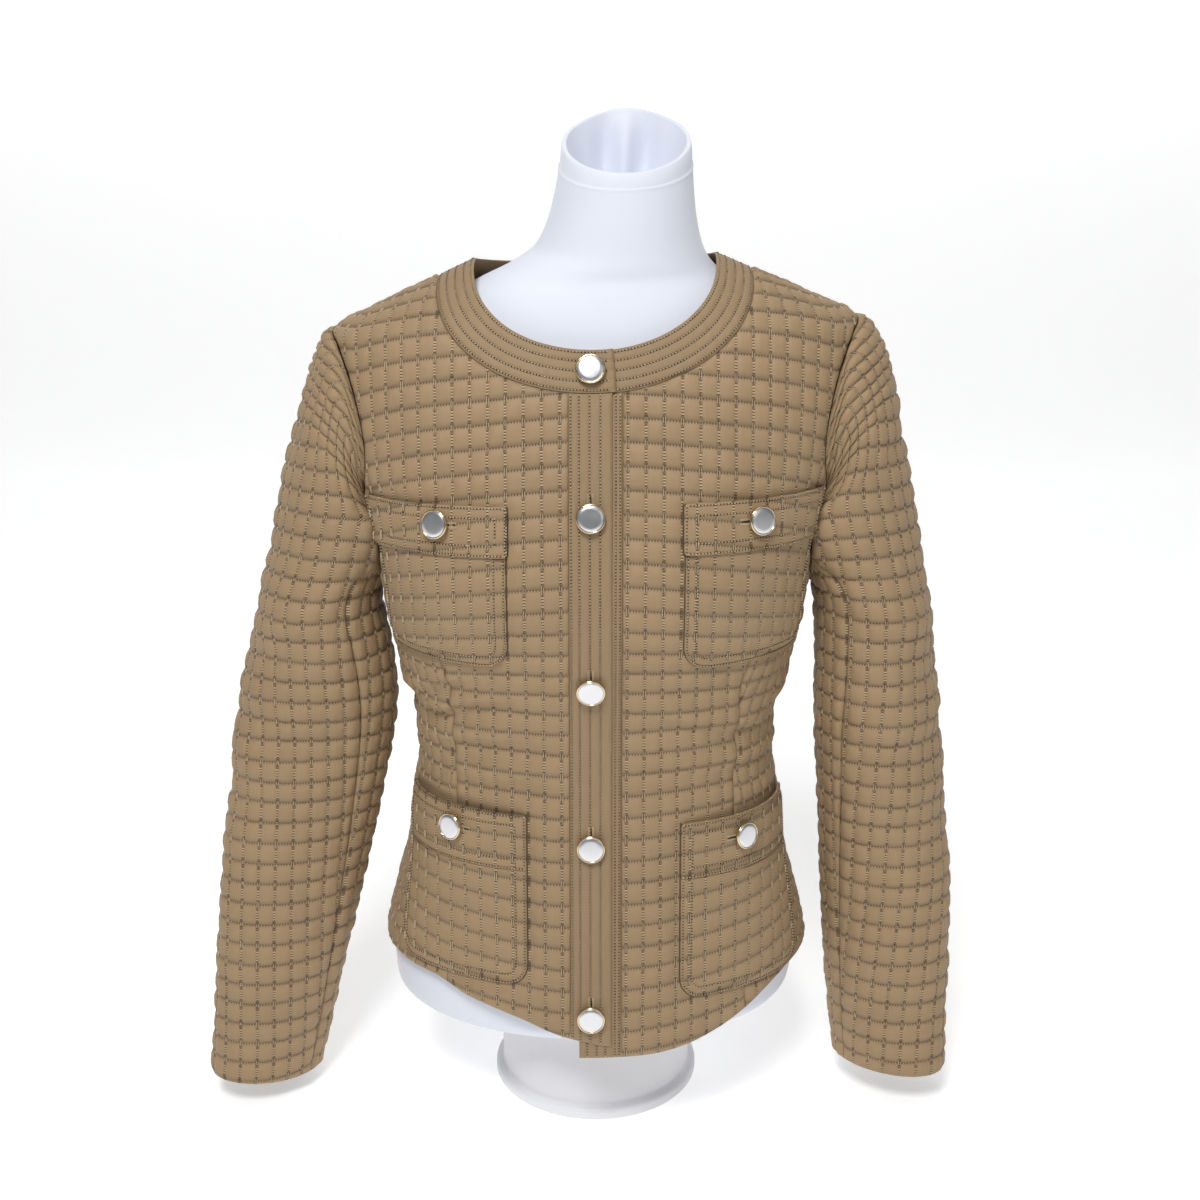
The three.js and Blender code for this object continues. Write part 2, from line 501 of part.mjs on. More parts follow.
// A wall of cloth on a surface: a grid in the cloth's own grain, cut to the trims, which are
// functions of (u, z) that are positive inside. Quilted cloth rises at the middle of each square.
function clothWall(options) {
  const { at, range, height, trims, wall, puff, lift, calm, base, column, innerDetail } = options;
  const half = column / 2;
  const vertices = [];
  const nodeAt = new Map();
  const firstColumn = Math.floor(range[0] / column) * 2;
  const lastColumn = Math.ceil(range[1] / column) * 2;
  const tall = { low: -999, high: 999 };
  for (let j = firstColumn; j <= lastColumn; j += 1) {
    const u = j * half;
    const heights = rowHeights(at, u, base(u), height[0], height[1]);
    for (const [i, z] of heights) {
      if ((i + j) % 2) continue;
      nodeAt.set(`${i},${j}`, vertices.length);
      vertices.push({ u, z, crown: i % 2 !== 0 });
      tall.low = max(tall.low, i);
      tall.high = min(tall.high, i);
    }
  }
  const slopeOf = (trim, v) => [
    (trim(v.u + 0.5, v.z) - trim(v.u - 0.5, v.z)),
    (trim(v.u, v.z + 0.5) - trim(v.u, v.z - 0.5)),
  ];
  // Corners close to a cut line are moved onto it, so that no sliver is left.
  const snap = column * 0.22;
  for (const v of vertices) {
    for (const trim of [...trims, ...trims]) {
      const value = trim(v.u, v.z);
      if (abs(value) > (v.crown ? snap * 0.6 : snap)) continue;
      for (let k = 0; k < 3; k += 1) {
        const [du, dz] = slopeOf(trim, v);
        const size = du * du + dz * dz;
        if (size < 1e-6) break;
        const now = trim(v.u, v.z);
        v.u -= (now * du) / size;
        v.z -= (now * dz) / size;
      }
      v.cut = true;
    }
  }
  const made = new Map();
  const valueCache = trims.map(() => new Map());
  const value = (k, id) => {
    if (!valueCache[k].has(id)) {
      const raw = trims[k](vertices[id].u, vertices[id].z);
      valueCache[k].set(id, abs(raw) < 0.08 ? 0 : raw);
    }
    return valueCache[k].get(id);
  };
  const crossing = (k, a, b) => {
    const [first, second] = a < b ? [a, b] : [b, a];
    const key = `${k}:${first}:${second}`;
    if (made.has(key)) return made.get(key);
    let from = vertices[first];
    let to = vertices[second];
    if (value(k, first) < 0) [from, to] = [to, from];
    let low = 0;
    let high = 1;
    for (let step = 0; step < 24; step += 1) {
      const t = (low + high) / 2;
      if (trims[k](from.u + (to.u - from.u) * t, from.z + (to.z - from.z) * t) > 0) low = t;
      else high = t;
    }
    const id = vertices.length;
    vertices.push({ u: from.u + (to.u - from.u) * low, z: from.z + (to.z - from.z) * low, cut: true });
    valueCache[k].set(id, 0);
    made.set(key, id);
    return id;
  };
  const clip = (polygon, k) => {
    const out = [];
    polygon.forEach((id, n) => {
      const next = polygon[(n + 1) % polygon.length];
      const here = value(k, id);
      const there = value(k, next);
      if (here >= 0) out.push(id);
      if (here * there < 0) out.push(crossing(k, id, next));
    });
    return out;
  };
  const outer = [];
  const inner = [];
  const keep = (polygon, face) => {
    for (let n = 2; n < polygon.length; n += 1) face.push([polygon[0], polygon[n - 1], polygon[n]]);
  };
  for (let i = tall.high; i <= tall.low; i += 1) {
    if (i % 2) continue;
    for (let j = firstColumn; j < lastColumn; j += 2) {
      const corners = [[i, j], [i, j + 2], [i + 2, j + 2], [i + 2, j]].map(([a, b]) => nodeAt.get(`${a},${b}`));
      const middle = nodeAt.get(`${i + 1},${j + 1}`);
      if (corners.includes(undefined) || middle === undefined) continue;
      const fans = corners.map((id, n) => [middle, id, corners[(n + 1) % 4]]);
      const pieces = puff || innerDetail ? fans : [corners];
      const whole = [...corners, middle].every((id) => trims.every((_, k) => value(k, id) >= 0));
      if (whole) {
        pieces.forEach((polygon) => keep(polygon, outer));
        (innerDetail ? fans : [corners]).forEach((polygon) => keep(polygon, inner));
        continue;
      }
      for (const piece of pieces) {
        let polygon = piece;
        for (let k = 0; k < trims.length && polygon.length > 2; k += 1) polygon = clip(polygon, k);
        if (polygon.length < 3) continue;
        keep(polygon, outer);
        keep(polygon, inner);
      }
    }
  }
  const used = [...new Set(outer.flat())];
  const placeOuter = new Map(used.map((id, n) => [id, n]));
  const placeInner = new Map(used.map((id, n) => [id, n + used.length]));
  const flip = options.flip ?? 1;
  const edge = (v) => min(...trims.map((trim) => trim(v.u, v.z)), calm ? calm(v.u, v.z) : 999);
  const faces = used.map((id) => {
    const v = vertices[id];
    const rise = v.crown && !v.cut ? puff * min(1, max(0, edge(v) / PUFF_FADE)) : 0;
    return { point: at(v.u, v.z), normal: normalOf(at, v.u, v.z, flip), low: lift(v.u, v.z), rise };
  });
  const points = [
    ...faces.map((f) => f.point.clone().addScaledVector(f.normal, f.low + wall + f.rise)),
    ...faces.map((f) => f.point.clone().addScaledVector(f.normal, f.low)),
  ];
  const triangles = [
    ...outer.map((t) => t.map((id) => placeOuter.get(id))),
    ...inner.map(([a, b, c]) => [placeInner.get(a), placeInner.get(c), placeInner.get(b)]),
  ];
  const directed = new Set(outer.flatMap(([a, b, c]) => [`${a},${b}`, `${b},${c}`, `${c},${a}`]));
  for (const [a, b, c] of outer) {
    for (const [from, to] of [[a, b], [b, c], [c, a]]) {
      if (directed.has(`${to},${from}`)) continue;
      const [outFrom, outTo] = [placeOuter.get(from), placeOuter.get(to)];
      const [inFrom, inTo] = [placeInner.get(from), placeInner.get(to)];
      triangles.push([outTo, outFrom, inFrom], [outTo, inFrom, inTo]);
    }
  }
  const kept = triangles.filter(([a, b, c]) => a !== b && b !== c && a !== c);
  const solid = closedMesh(points, kept);
  return solid;
}

// The quilting's base line on the front and sides sags and closes up away from the middle.
const sidewise = (s) => (min(abs(s), ROW_BASE.limit) / ROW_BASE.at) ** 2;
const frontBase = (u) => ({ z: ROW_BASE.z - ROW_BASE.sag * sidewise(u), squeeze: 1 + ROW_BASE.squeeze * sidewise(u) });
const sideBase = () => frontBase(ROW_BASE.limit);
const backBase = () => ({ z: ROW_BASE.z - ROW_BASE.sag, squeeze: 1 });

// Cut lines as functions of a point on the body, positive where the panel lies.
const belowNeckSeam = (p) => {
  const z = p.z - leanOf(p);
  const drop = p.y < torsoAt(z).mid ? NECK_SEAM.frontDrop : NECK_SEAM.backDrop;
  const out = hypot(p.x / NECK_SEAM.half, max(0, NECK_SEAM.z - z) / drop) - 1;
  return out * (drop + (NECK_SEAM.half - drop) * min(1, abs(p.x) / NECK_SEAM.half)) - 1.7 * SEAM_GAP;
};
// A wall ends where its near edge would leave its own half of the space between two surfaces.
const ARMHOLE_GAP = 0.5; // on each side of the armhole seam
const UNDERARM = { z: 480, fade: 20, spare: 0.3 }; // more room where body and sleeve run side by side
const halfwayTo = (distance, at, flip) => (u, z) => {
  const base = at(u, z);
  const face = base.clone().addScaledVector(normalOf(at, u, z, flip), WALL);
  const spare = UNDERARM.spare * smooth((UNDERARM.z - z) / UNDERARM.fade);
  return min(distance(base), distance(face) - WALL) - ARMHOLE_GAP - spare;
};
const toSleeve = (p) => sleeveClearance[p.x > 0 ? 'left' : 'right'](p);

// How far outside the pockets a point is, so that the cloth lies flat under them.
function pocketDistance(pocket, s, z) {
  const middle = (pocket.from + pocket.to) / 2;
  const halfWide = (pocket.to - pocket.from) / 2;
  const centre = (pocket.top + pocket.bottom) / 2;
  const halfTall = (pocket.top - pocket.bottom) / 2;
  const corner = z < centre ? pocket.corner : 3;
  const across = abs(s * pocket.side - middle) - halfWide + corner;
  const up = abs(z - centre) - halfTall + corner;
  return hypot(max(0, across), max(0, up)) + min(0, max(across, up)) - corner;
}
const clearOfPockets = (s, z) => min(...Object.values(POCKETS).map((p) => pocketDistance(p, s, z) - POCKET_CALM));

const topLift = (s) => TOP_LIFT * smooth((LIFT_START + s) / (LIFT_START + PLACKET.from));

// The two front panels, from the band to the side seam, the armhole, the shoulder and the neck.
function frontPanel(hand) {
  const side = SIDES[hand];
  const bandEdge = hand === 'left' ? UNDERLAP.to : -PLACKET.from;
  const hem = hand === 'left' ? hemUnder : hemOver;
  const ringSide = (z) => measuredRing(z).side;
  const trims = [
    (u) => side * u - bandEdge - SEAM_GAP / 2,
    (u, z) => z - hem(fromMiddleFront(u, z).x),
    (u, z) => belowNeckSeam(fromMiddleFront(u, z)),
    (u, z) => frontSeamX(z) - abs(fromMiddleFront(u, z).x) - SEAM_GAP / 2,
    (u, z) => ringSide(z) - side * u - SEAM_GAP / 2,
    halfwayTo(toSleeve, fromMiddleFront, 1),
  ];
  add(
    `front_${hand}`,
    clothWall({
      at: fromMiddleFront,
      range: side > 0 ? [0, 260] : [-260, 0],
      height: [60, RIDGE_TOP],
      trims,
      wall: WALL,
      puff: PUFF,
      lift: (u) => (hand === 'right' ? topLift(u) : 0),
      calm: clearOfPockets,
      base: frontBase,
      column: COLUMN,
    }),
    clothFinish,
  );
}

// The side panels, from the front seam round under the arm to the back seam.
function sidePanel(hand) {
  const side = SIDES[hand];
  const at = fromSide[hand];
  const hem = (x) => (hand === 'left' ? hemUnder(x) : hemOver(x));
  const inFront = (u) => side * u < 0;
  const ring = (z) => measuredRing(z);
  const trims = [
    (u, z) => (inFront(u) ? abs(at(u, z).x) - frontSeamX(z) - SEAM_GAP / 2 : 99),
    (u, z) => (inFront(u) ? 99 : abs(at(u, z).x) - backSeamX(z) - SEAM_GAP / 2),
    (u, z) => {
      const x = at(u, z).x;
      const front = hem(x);
      return z - (inFront(u) ? front : front + (HEM_BACK - front) * smooth((side * u) / 60));
    },
    halfwayTo(toSleeve, at, 1),
  ];
  add(
    `side_${hand}`,
    clothWall({
      at,
      range: [-150, 150],
      height: [60, 520],
      trims,
      wall: WALL,
      puff: PUFF,
      lift: () => 0,
      calm: (u, z) => clearOfPockets(side * (ring(z).side + side * u), z),
      base: sideBase,
      column: COLUMN,
    }),
    clothFinish,
  );
}

function backPanel() {
  const at = fromMiddleBack;
  const backHalf = (z) => measuredRing(z).whole - measuredRing(z).side;
  const trims = [
    (u, z) => z - HEM_BACK,
    (u, z) => belowNeckSeam(at(u, z)),
    (u, z) => backSeamX(z) - abs(at(u, z).x) - SEAM_GAP / 2,
    (u, z) => backHalf(z) - abs(u) - SEAM_GAP / 2,
    halfwayTo(toSleeve, at, 1),
  ];
  add(
    'back',
    clothWall({
      at,
      range: [-260, 260],
      height: [60, RIDGE_TOP],
      trims,
      wall: WALL,
      puff: PUFF,
      lift: () => 0,
      base: backBase,
      column: COLUMN,
    }),
    clothFinish,
  );
}

// Each sleeve is a top piece and an under piece, joined along a front and a back seam.
function sleeve(hand) {
  const { at, turnAt, halfRound } = sleeveSurface(hand);
  const { middle, outward, forward } = CUFF[hand];
  const end = armAt[hand](middle);
  const cuff = (p) => middle + outward * (SIDES[hand] * p.x - end.x) + forward * (end.y - p.y);
  const body = (surface) => [
    (u, z) => z - cuff(surface(u, z)),
    halfwayTo(outsideTorso, surface, SIDES[hand]),
  ];
  const round = (z) => halfRound(z) / PI;
  const seamTurn = (z) => {
    const closing = smooth((z - SLEEVE_SEAM.closeFrom) / SLEEVE_SEAM.closeOver);
    return THREE.MathUtils.degToRad(SLEEVE_SEAM.turn + (181 - SLEEVE_SEAM.turn) * closing);
  };
  const shared = {
    height: [-20, PIVOT.z + PIVOT.last / PIVOT.rate],
    wall: WALL,
    puff: PUFF,
    lift: () => 0,
    base: () => ({ z: 220, squeeze: 1, dense: (place) => 1 + smooth((place - 590) / 10) }),
    column: COLUMN,
    flip: SIDES[hand],
  };
  add(
    `sleeve_top_${hand}`,
    clothWall({
      ...shared,
      at,
      range: [-170, 170],
      trims: [...body(at), (u, z) => (seamTurn(z) - abs(turnAt(u, z))) * round(z) - SLEEVE_SEAM.gap],
    }),
    clothFinish,
  );
  const fromInside = (u, z) => at(u > 0 ? u - halfRound(z) : u + halfRound(z), z);
  const insideTurn = (u, z) => PI - abs(turnAt(u > 0 ? u - halfRound(z) : u + halfRound(z), z));
  add(
    `sleeve_under_${hand}`,
    clothWall({
      ...shared,
      at: fromInside,
      range: [-125, 125],
      trims: [
        ...body(fromInside),
        (u, z) => (PI - seamTurn(z) - insideTurn(u, z)) * round(z) - SLEEVE_SEAM.gap,
      ],
    }),
    clothFinish,
  );
}

// The plain bands down the front edges.
function frontBand(name, band, hem, lift, neckGap) {
  const trims = [
    (u) => u - band.from - SEAM_GAP / 2,
    (u) => band.to - u - (band === UNDERLAP ? SEAM_GAP / 2 : 0),
    (u, z) => z - hem(u),
    (u, z) => belowNeckSeam(fromMiddleFront(u, z)) - neckGap,
  ];
  add(
    name,
    clothWall({
      at: fromMiddleFront,
      range: [-24, 24],
      height: [60, 600],
      trims,
      wall: BAND_WALL,
      puff: 0,
      lift: () => lift,
      base: frontBase,
      column: COLUMN / 2,
    }),
    clothFinish,
  );
}

// One edge of the neck band, as distances along it from the middle front round to the middle back.
const NECK_STEPS = 120;
function neckLine(share) {
  const mix = (key) => NECK_EDGE[key] + (NECK_SEAM[key] - NECK_EDGE[key]) * share;
  const points = [];
  for (let i = 0; i <= 2 * NECK_STEPS; i += 1) {
    const behind = i > NECK_STEPS;
    const part = behind ? (2 * NECK_STEPS - i) / NECK_STEPS : i / NECK_STEPS;
    const turn = (PI / 2) * sin((PI / 2) * part);
    const x = mix('half') * sin(turn);
    const z = mix('z') - mix(behind ? 'backDrop' : 'frontDrop') * cos(turn);
    const ring = torsoAt(z);
    const within = min(1, x / ring.half);
    const depth = (1 - within ** ring.square) ** (1 / ring.square);
    points.push(new THREE.Vector3(x, ring.mid + (behind ? ring.back : -ring.front) * depth, z));
  }
  const along = [0];
  for (let i = 1; i < points.length; i += 1) along.push(along[i - 1] + points[i].distanceTo(points[i - 1]));
  return (part) => {
    const folded = part > 2 ? 4 - part : abs(part);
    const mirror = part > 2 || part < 0 ? -1 : 1;
    const middle = along[NECK_STEPS];
    const whole = along[2 * NECK_STEPS];
    const s = folded < 1 ? folded * middle : middle + (folded - 1) * (whole - middle);
    let i = 0;
    while (i < along.length - 2 && along[i + 1] < s) i += 1;
    const t = (s - along[i]) / (along[i + 1] - along[i]);
    const point = points[i].clone().lerp(points[i + 1], min(1, max(0, t)));
    point.x *= mirror;
    return leaned(point);
  };
}

// The band round the neck: one strip whose right end laps over its left end at the front.
function neckBand() {
  const shares = [0, 0.5, 1];
  const lines = shares.map((share) => neckLine(share * 0.985));
  const frontLength = 150;
  const start = UNDERLAP.from / frontLength;
  const stop = 4 + PLACKET.to / frontLength;
  const stations = 46;
  const rise = 0.45;
  const points = [];
  for (const side of ['outer', 'inner']) {
    for (let i = 0; i <= stations; i += 1) {
      const part = start + ((stop - start) * i) / stations;
      const wrapped = part > 4 ? part - 4 : part;
      const lift = TOP_LIFT * smooth((part - (4 - rise)) / (rise + PLACKET.from / frontLength));
      lines.forEach((line) => {
        const step = 0.004;
        const along = line(wrapped + step).sub(line(wrapped - step));
        const across = lines[2](wrapped).sub(lines[0](wrapped));
        const normal = across.cross(along).normalize();
        const height = lift + (side === 'outer' ? BAND_WALL : 0);
        points.push(line(wrapped).addScaledVector(normal, height));
      });
    }
  }
  const wide = shares.length;
  const inside = (stations + 1) * wide;
  const triangles = [];
  const quad = (a, b, c, d) => triangles.push([a, b, c], [a, c, d]);
  for (let i = 0; i < stations; i += 1) {
    for (let k = 0; k < wide - 1; k += 1) {
      const a = i * wide + k;
      quad(a, a + wide, a + wide + 1, a + 1);
      quad(inside + a, inside + a + 1, inside + a + wide + 1, inside + a + wide);
    }
    const top = i * wide;
    const low = i * wide + wide - 1;
    quad(top, inside + top, inside + top + wide, top + wide);
    quad(low, low + wide, inside + low + wide, inside + low);
  }
  for (const [i, flip] of [[0, false], [stations, true]]) {
    for (let k = 0; k < wide - 1; k += 1) {
      const a = i * wide + k;
      if (flip) quad(a, inside + a, inside + a + 1, a + 1);
      else quad(a, a + 1, inside + a + 1, inside + a);
    }
  }
  add('neck_band', closedMesh(points, triangles), clothFinish);
}

const pocketStand = (s) => {
  const { near, far, from, to } = POCKET_STAND;
  return near + (far - near) * smooth((abs(s) - from) / (to - from));
};

// How far a pocket's inner face stands off the body's inner face, at a distance round and a height.
function pocketLift(name) {
  const shape = POCKETS[name];
  const chest = name.startsWith('chest');
  return (s, z) => {
    const across = (abs(s) - (shape.from + shape.to) / 2) / ((shape.to - shape.from) / 2);
    const up = smooth((z - shape.bottom - 30) / (shape.top - shape.bottom - 30));
    const gape = chest ? 0 : MOUTH_GAPE * (1 - across * across) * up;
    return WALL + pocketStand(s) + (shape.side < 0 ? topLift(s) : 0) + gape;
  };
}

// Pockets: a quilted patch with a plain head, a flap on the chest and a turned band on the hip.
function pocket(name) {
  const shape = POCKETS[name];
  const chest = name.startsWith('chest');
  const lifted = pocketLift(name);
  const clear = (lift) => (u, z) => {
    const at = fromMiddleFront(u, z);
    const out = at.addScaledVector(normalOf(fromMiddleFront, u, z, 1), lift);
    return toSleeve(out) - WALL - PUFF - LAYER_GAP;
  };
  const range = shape.side > 0 ? [24, 216] : [-216, -24];
  const shared = {
    at: fromMiddleFront,
    range,
    height: [100, 520],
    wall: POCKET_WALL,
    base: frontBase,
    column: COLUMN,
    innerDetail: true,
  };
  const patchTop = shape.top - shape.head - SEAM_GAP / 2;
  const inside = (u, z) => -pocketDistance(shape, u, z);
  add(
    `pocket_${name}`,
    clothWall({
      ...shared,
      trims: chest
        ? [(u, z) => inside(u, z), (u, z) => shape.top - 8 - z, clear(3)]
        : [(u, z) => inside(u, z), (u, z) => patchTop - z, clear(3)],
      puff: POCKET_PUFF,
      calm: (u, z) => (chest ? shape.top - shape.head - z : 99),
      lift: lifted,
    }),
    clothFinish,
  );
  const head = { ...shape };
  if (chest) {
    head.from -= FLAP_OVERHANG;
    head.to += FLAP_OVERHANG;
    head.bottom = shape.top - shape.head;
    head.corner = 3;
  }
  const headTrims = chest
    ? [(u, z) => -pocketDistance(head, u, z), clear(5)]
    : [(u, z) => inside(u, z), (u, z) => z - patchTop - SEAM_GAP, clear(3)];
  add(
    chest ? `flap_${name}` : `band_${name}`,
    clothWall({
      ...shared,
      trims: headTrims,
      wall: chest ? POCKET_WALL : POCKET_WALL + 0.6,
      puff: chest ? POCKET_PUFF : 0.4,
      lift: (u, z) => lifted(u, z) + (chest ? POCKET_WALL + LAYER_GAP : 0),
    }),
    clothFinish,
  );
}

// One button, standing on the cloth: a metal cup with a shank, and a flat inlay in its face.
function button(name, u, z, lift) {
  const { radius, height, inlay, inlayDepth, shank, shankLength, sides } = BUTTON;
  const rise = (list) => list.map(([r, h]) => new THREE.Vector2(r, h));
  const cup = new THREE.LatheGeometry(
    rise([
      [0, 0],
      [shank, 0],
      [shank, shankLength],
      [radius, shankLength],
      [radius, shankLength + height - 0.5],
      [radius - 0.5, shankLength + height],
      [inlay + 0.3, shankLength + height],
      [inlay + 0.3, shankLength + height - inlayDepth],
      [0, shankLength + height - inlayDepth],
    ]),
    sides,
  );
  const disc = new THREE.CylinderGeometry(inlay, inlay, inlayDepth, sides);
  const place = fromMiddleFront(u, z);
  const normal = normalOf(fromMiddleFront, u, z, 1);
  place.addScaledVector(normal, lift + 0.3);
  const turn = new THREE.Quaternion().setFromUnitVectors(new THREE.Vector3(0, 1, 0), normal);
  for (const [suffix, shape, finish, up] of [
    ['cup', cup, rimFinish, 0],
    ['inlay', disc, inlayFinish, shankLength + height - inlayDepth / 2 + 0.3],
  ]) {
    shape.deleteAttribute('normal');
    shape.deleteAttribute('uv');
    const mesh = add(`${name}_${suffix}`, mergeVertices(shape, 1e-4), finish);
    mesh.quaternion.copy(turn);
    mesh.position.copy(place).addScaledVector(normal, up);
  }
}

// Dress form: rings from its underside up the neck and down into the hollow in its top.
function dressForm() {
  const points = [new THREE.Vector3(0, 2, FORM_UNDER)];
  for (const ring of FORM) {
    for (let i = 0; i < FORM_SIDES; i += 1) {
      const turn = (2 * PI * i) / FORM_SIDES;
      const [x, y] = sectionPoint({ ...ring, square: FORM_SQUARE }, turn);
      const z = ring.z + (ring.slant / 2) * ((y - ring.mid) / ring.back);
      points.push(leaned(new THREE.Vector3(ring.x + x, y, z)));
    }
  }
  const last = FORM[FORM.length - 1];
  points.push(new THREE.Vector3(last.x, last.mid, last.z - 4));
  const triangles = [];
  for (let i = 0; i < FORM_SIDES; i += 1) {
    const next = (i + 1) % FORM_SIDES;
    triangles.push([0, 1 + next, 1 + i]);
    const top = 1 + (FORM.length - 1) * FORM_SIDES;
    triangles.push([points.length - 1, top + i, top + next]);
    for (let k = 0; k < FORM.length - 1; k += 1) {
      const a = 1 + k * FORM_SIDES;
      const b = a + FORM_SIDES;
      triangles.push([a + i, a + next, b + next], [a + i, b + next, b + i]);
    }
  }
  add('dress_form', closedMesh(points, triangles), formFinish);
}

function plinth() {
  const { radius, foot, footHeight, bevel, sides } = PLINTH;
  const top = FORM_UNDER - 0.3;
  const profile = [
    [0, 0],
    [foot - bevel, 0],
    [foot, bevel],
    [foot, footHeight - bevel],
    [foot - bevel, footHeight],
    [radius, footHeight + 2 * bevel],
    [radius, top - bevel],
    [radius - bevel, top],
    [0, top],
  ].map(([r, h]) => new THREE.Vector2(r, h));
  const shape = new THREE.LatheGeometry(profile, sides);
  shape.deleteAttribute('normal');
  shape.deleteAttribute('uv');
  const mesh = add('plinth', mergeVertices(shape, 1e-4), plinthFinish);
  mesh.rotation.x = PI / 2;
}

for (const hand of ['right', 'left']) {
  frontPanel(hand);
  sidePanel(hand);
  sleeve(hand);
}
backPanel();
frontBand('placket_over', PLACKET, hemOver, TOP_LIFT, 0);
frontBand('placket_under', UNDERLAP, hemUnder, 0, 0);
neckBand();
Object.keys(POCKETS).forEach(pocket);
FRONT_BUTTONS.z.forEach((z, i) => button(`button_front_${i + 1}`, FRONT_BUTTONS.x, z, TOP_LIFT + BAND_WALL));
for (const [name, shape] of Object.entries(POCKETS)) {
  const [distance, z, seat] = shape.button;
  const s = shape.side * distance;
  button(`button_${name}`, s, z, pocketLift(name)(s, z) + seat);
}
dressForm();
plinth();

export default group;
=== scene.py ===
"""The quilted jacket, buttoned over a limbless dress form on a low plinth.

Lengths are millimetres in the row frame until a mesh is made. +Z is up, the front faces -Y
and +X is the wearer's left. The right front laps over the left front.
"""

import logging
import math
from dataclasses import dataclass, field, replace
from enum import Enum
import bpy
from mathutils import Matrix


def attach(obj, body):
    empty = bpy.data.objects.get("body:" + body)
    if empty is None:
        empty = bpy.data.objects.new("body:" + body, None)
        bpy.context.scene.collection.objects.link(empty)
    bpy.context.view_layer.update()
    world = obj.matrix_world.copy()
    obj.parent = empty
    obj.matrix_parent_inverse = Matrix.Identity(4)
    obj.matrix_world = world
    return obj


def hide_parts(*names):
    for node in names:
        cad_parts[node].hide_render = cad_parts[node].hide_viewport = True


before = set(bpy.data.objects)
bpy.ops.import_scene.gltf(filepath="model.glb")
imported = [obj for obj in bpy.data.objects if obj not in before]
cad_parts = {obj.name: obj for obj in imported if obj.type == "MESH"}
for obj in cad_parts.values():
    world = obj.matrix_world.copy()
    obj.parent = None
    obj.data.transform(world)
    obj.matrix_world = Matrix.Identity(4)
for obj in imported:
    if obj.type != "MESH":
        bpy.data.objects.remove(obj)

from types import SimpleNamespace
from typing import Callable, Optional, Sequence

import bpy
import numpy as np

Array = np.ndarray
Surface = Callable[[Array, Array], Array]
Measure = Callable[[Array, Array], Array]

LOG = logging.getLogger("jacket")
MM = 0.001

# Camera and studio

CAMERA_PLACE = (3.5, -1200.0, 769.0)
CAMERA_PITCH = 17.0
CAMERA_LENS = 49.5

# Cloth and clearances

WALL = 1.4
BAND_WALL = 2.0
POCKET_WALL = 1.3
PUFF = 1.7
SLEEVE_PUFF = 2.1
POCKET_PUFF = 0.8
SEAM_GAP = 0.16
LAYER_GAP = 0.6
TOP_LIFT = BAND_WALL + LAYER_GAP
LIFT_START = 62.0
ARMHOLE_GAP = 0.1
UNDERARM_FROM = 480.0
UNDERARM_FADE = 20.0
UNDERARM_SPARE = 0.3
RIDGE_TOP = 671.0
SHOULDER_LEAN = 0.024
LEAN_FROM = 300.0
LEAN_TO = 610.0
PLACKET = (-18.0, 12.0)
UNDERLAP = (-12.0, 19.0)
HEM_BACK = 122.0


def smooth(share: Array) -> Array:
    """A soft step from 0 to 1 as the share goes from 0 to 1."""
    kept = np.clip(share, 0.0, 1.0)
    return kept * kept * (3.0 - 2.0 * kept)


class SmoothCurve:
    """A smooth curve through points that never overshoots them."""

    def __init__(self, at: Sequence[float], value: Sequence[float]) -> None:
        """Sets the slopes at the points.

        Args:
            at: Where the points are.
            value: What the curve is there.
        """
        order = np.argsort(at)
        self.at = np.asarray(at, float)[order]
        self.value = np.asarray(value, float)[order]
        steep = np.diff(self.value) / np.diff(self.at)
        before = np.concatenate([steep[:1], steep])
        after = np.concatenate([steep, steep[-1:]])
        both = before * after
        total = np.where(before + after == 0, 1.0, before + after)
        self.slope = np.where(both > 0, 2.0 * both / total, 0.0)

    def __call__(self, where: Array) -> Array:
        """The curve's value.

        Args:
            where: Any places; beyond the ends the curve stays level.

        Returns:
            The values there.
        """
        kept = np.clip(where, self.at[0], self.at[-1])
        first = np.clip(np.searchsorted(self.at, kept, side="right") - 1, 0, len(self.at) - 2)
        span = self.at[first + 1] - self.at[first]
        t = (kept - self.at[first]) / span
        rise = t * t * (3.0 - 2.0 * t)
        level = self.value[first] * (1.0 - rise) + self.value[first + 1] * rise
        lean = self.slope[first] * t * (1.0 - t) ** 2 - self.slope[first + 1] * t * t * (1.0 - t)
        return level + span * lean


class Table:
    """Smooth curves through the columns of a short table, by its first column."""

    def __init__(self, columns: str, *rows: Sequence[float]) -> None:
        """Makes one curve for each column after the first.

        Args:
            columns: The columns' names, with spaces between them.
            rows: The table's rows.
        """
        data = np.array(rows, float)
        names = columns.split()
        self.first = data[:, 0]
        self.curves = {name: SmoothCurve(data[:, 0], data[:, k]) for k, name in enumerate(names) if k}

    def at(self, value: Array) -> SimpleNamespace:
        """Every column's value at a value of the first column."""
        return SimpleNamespace(**{name: curve(value) for name, curve in self.curves.items()})


# Body sections by height, inside face

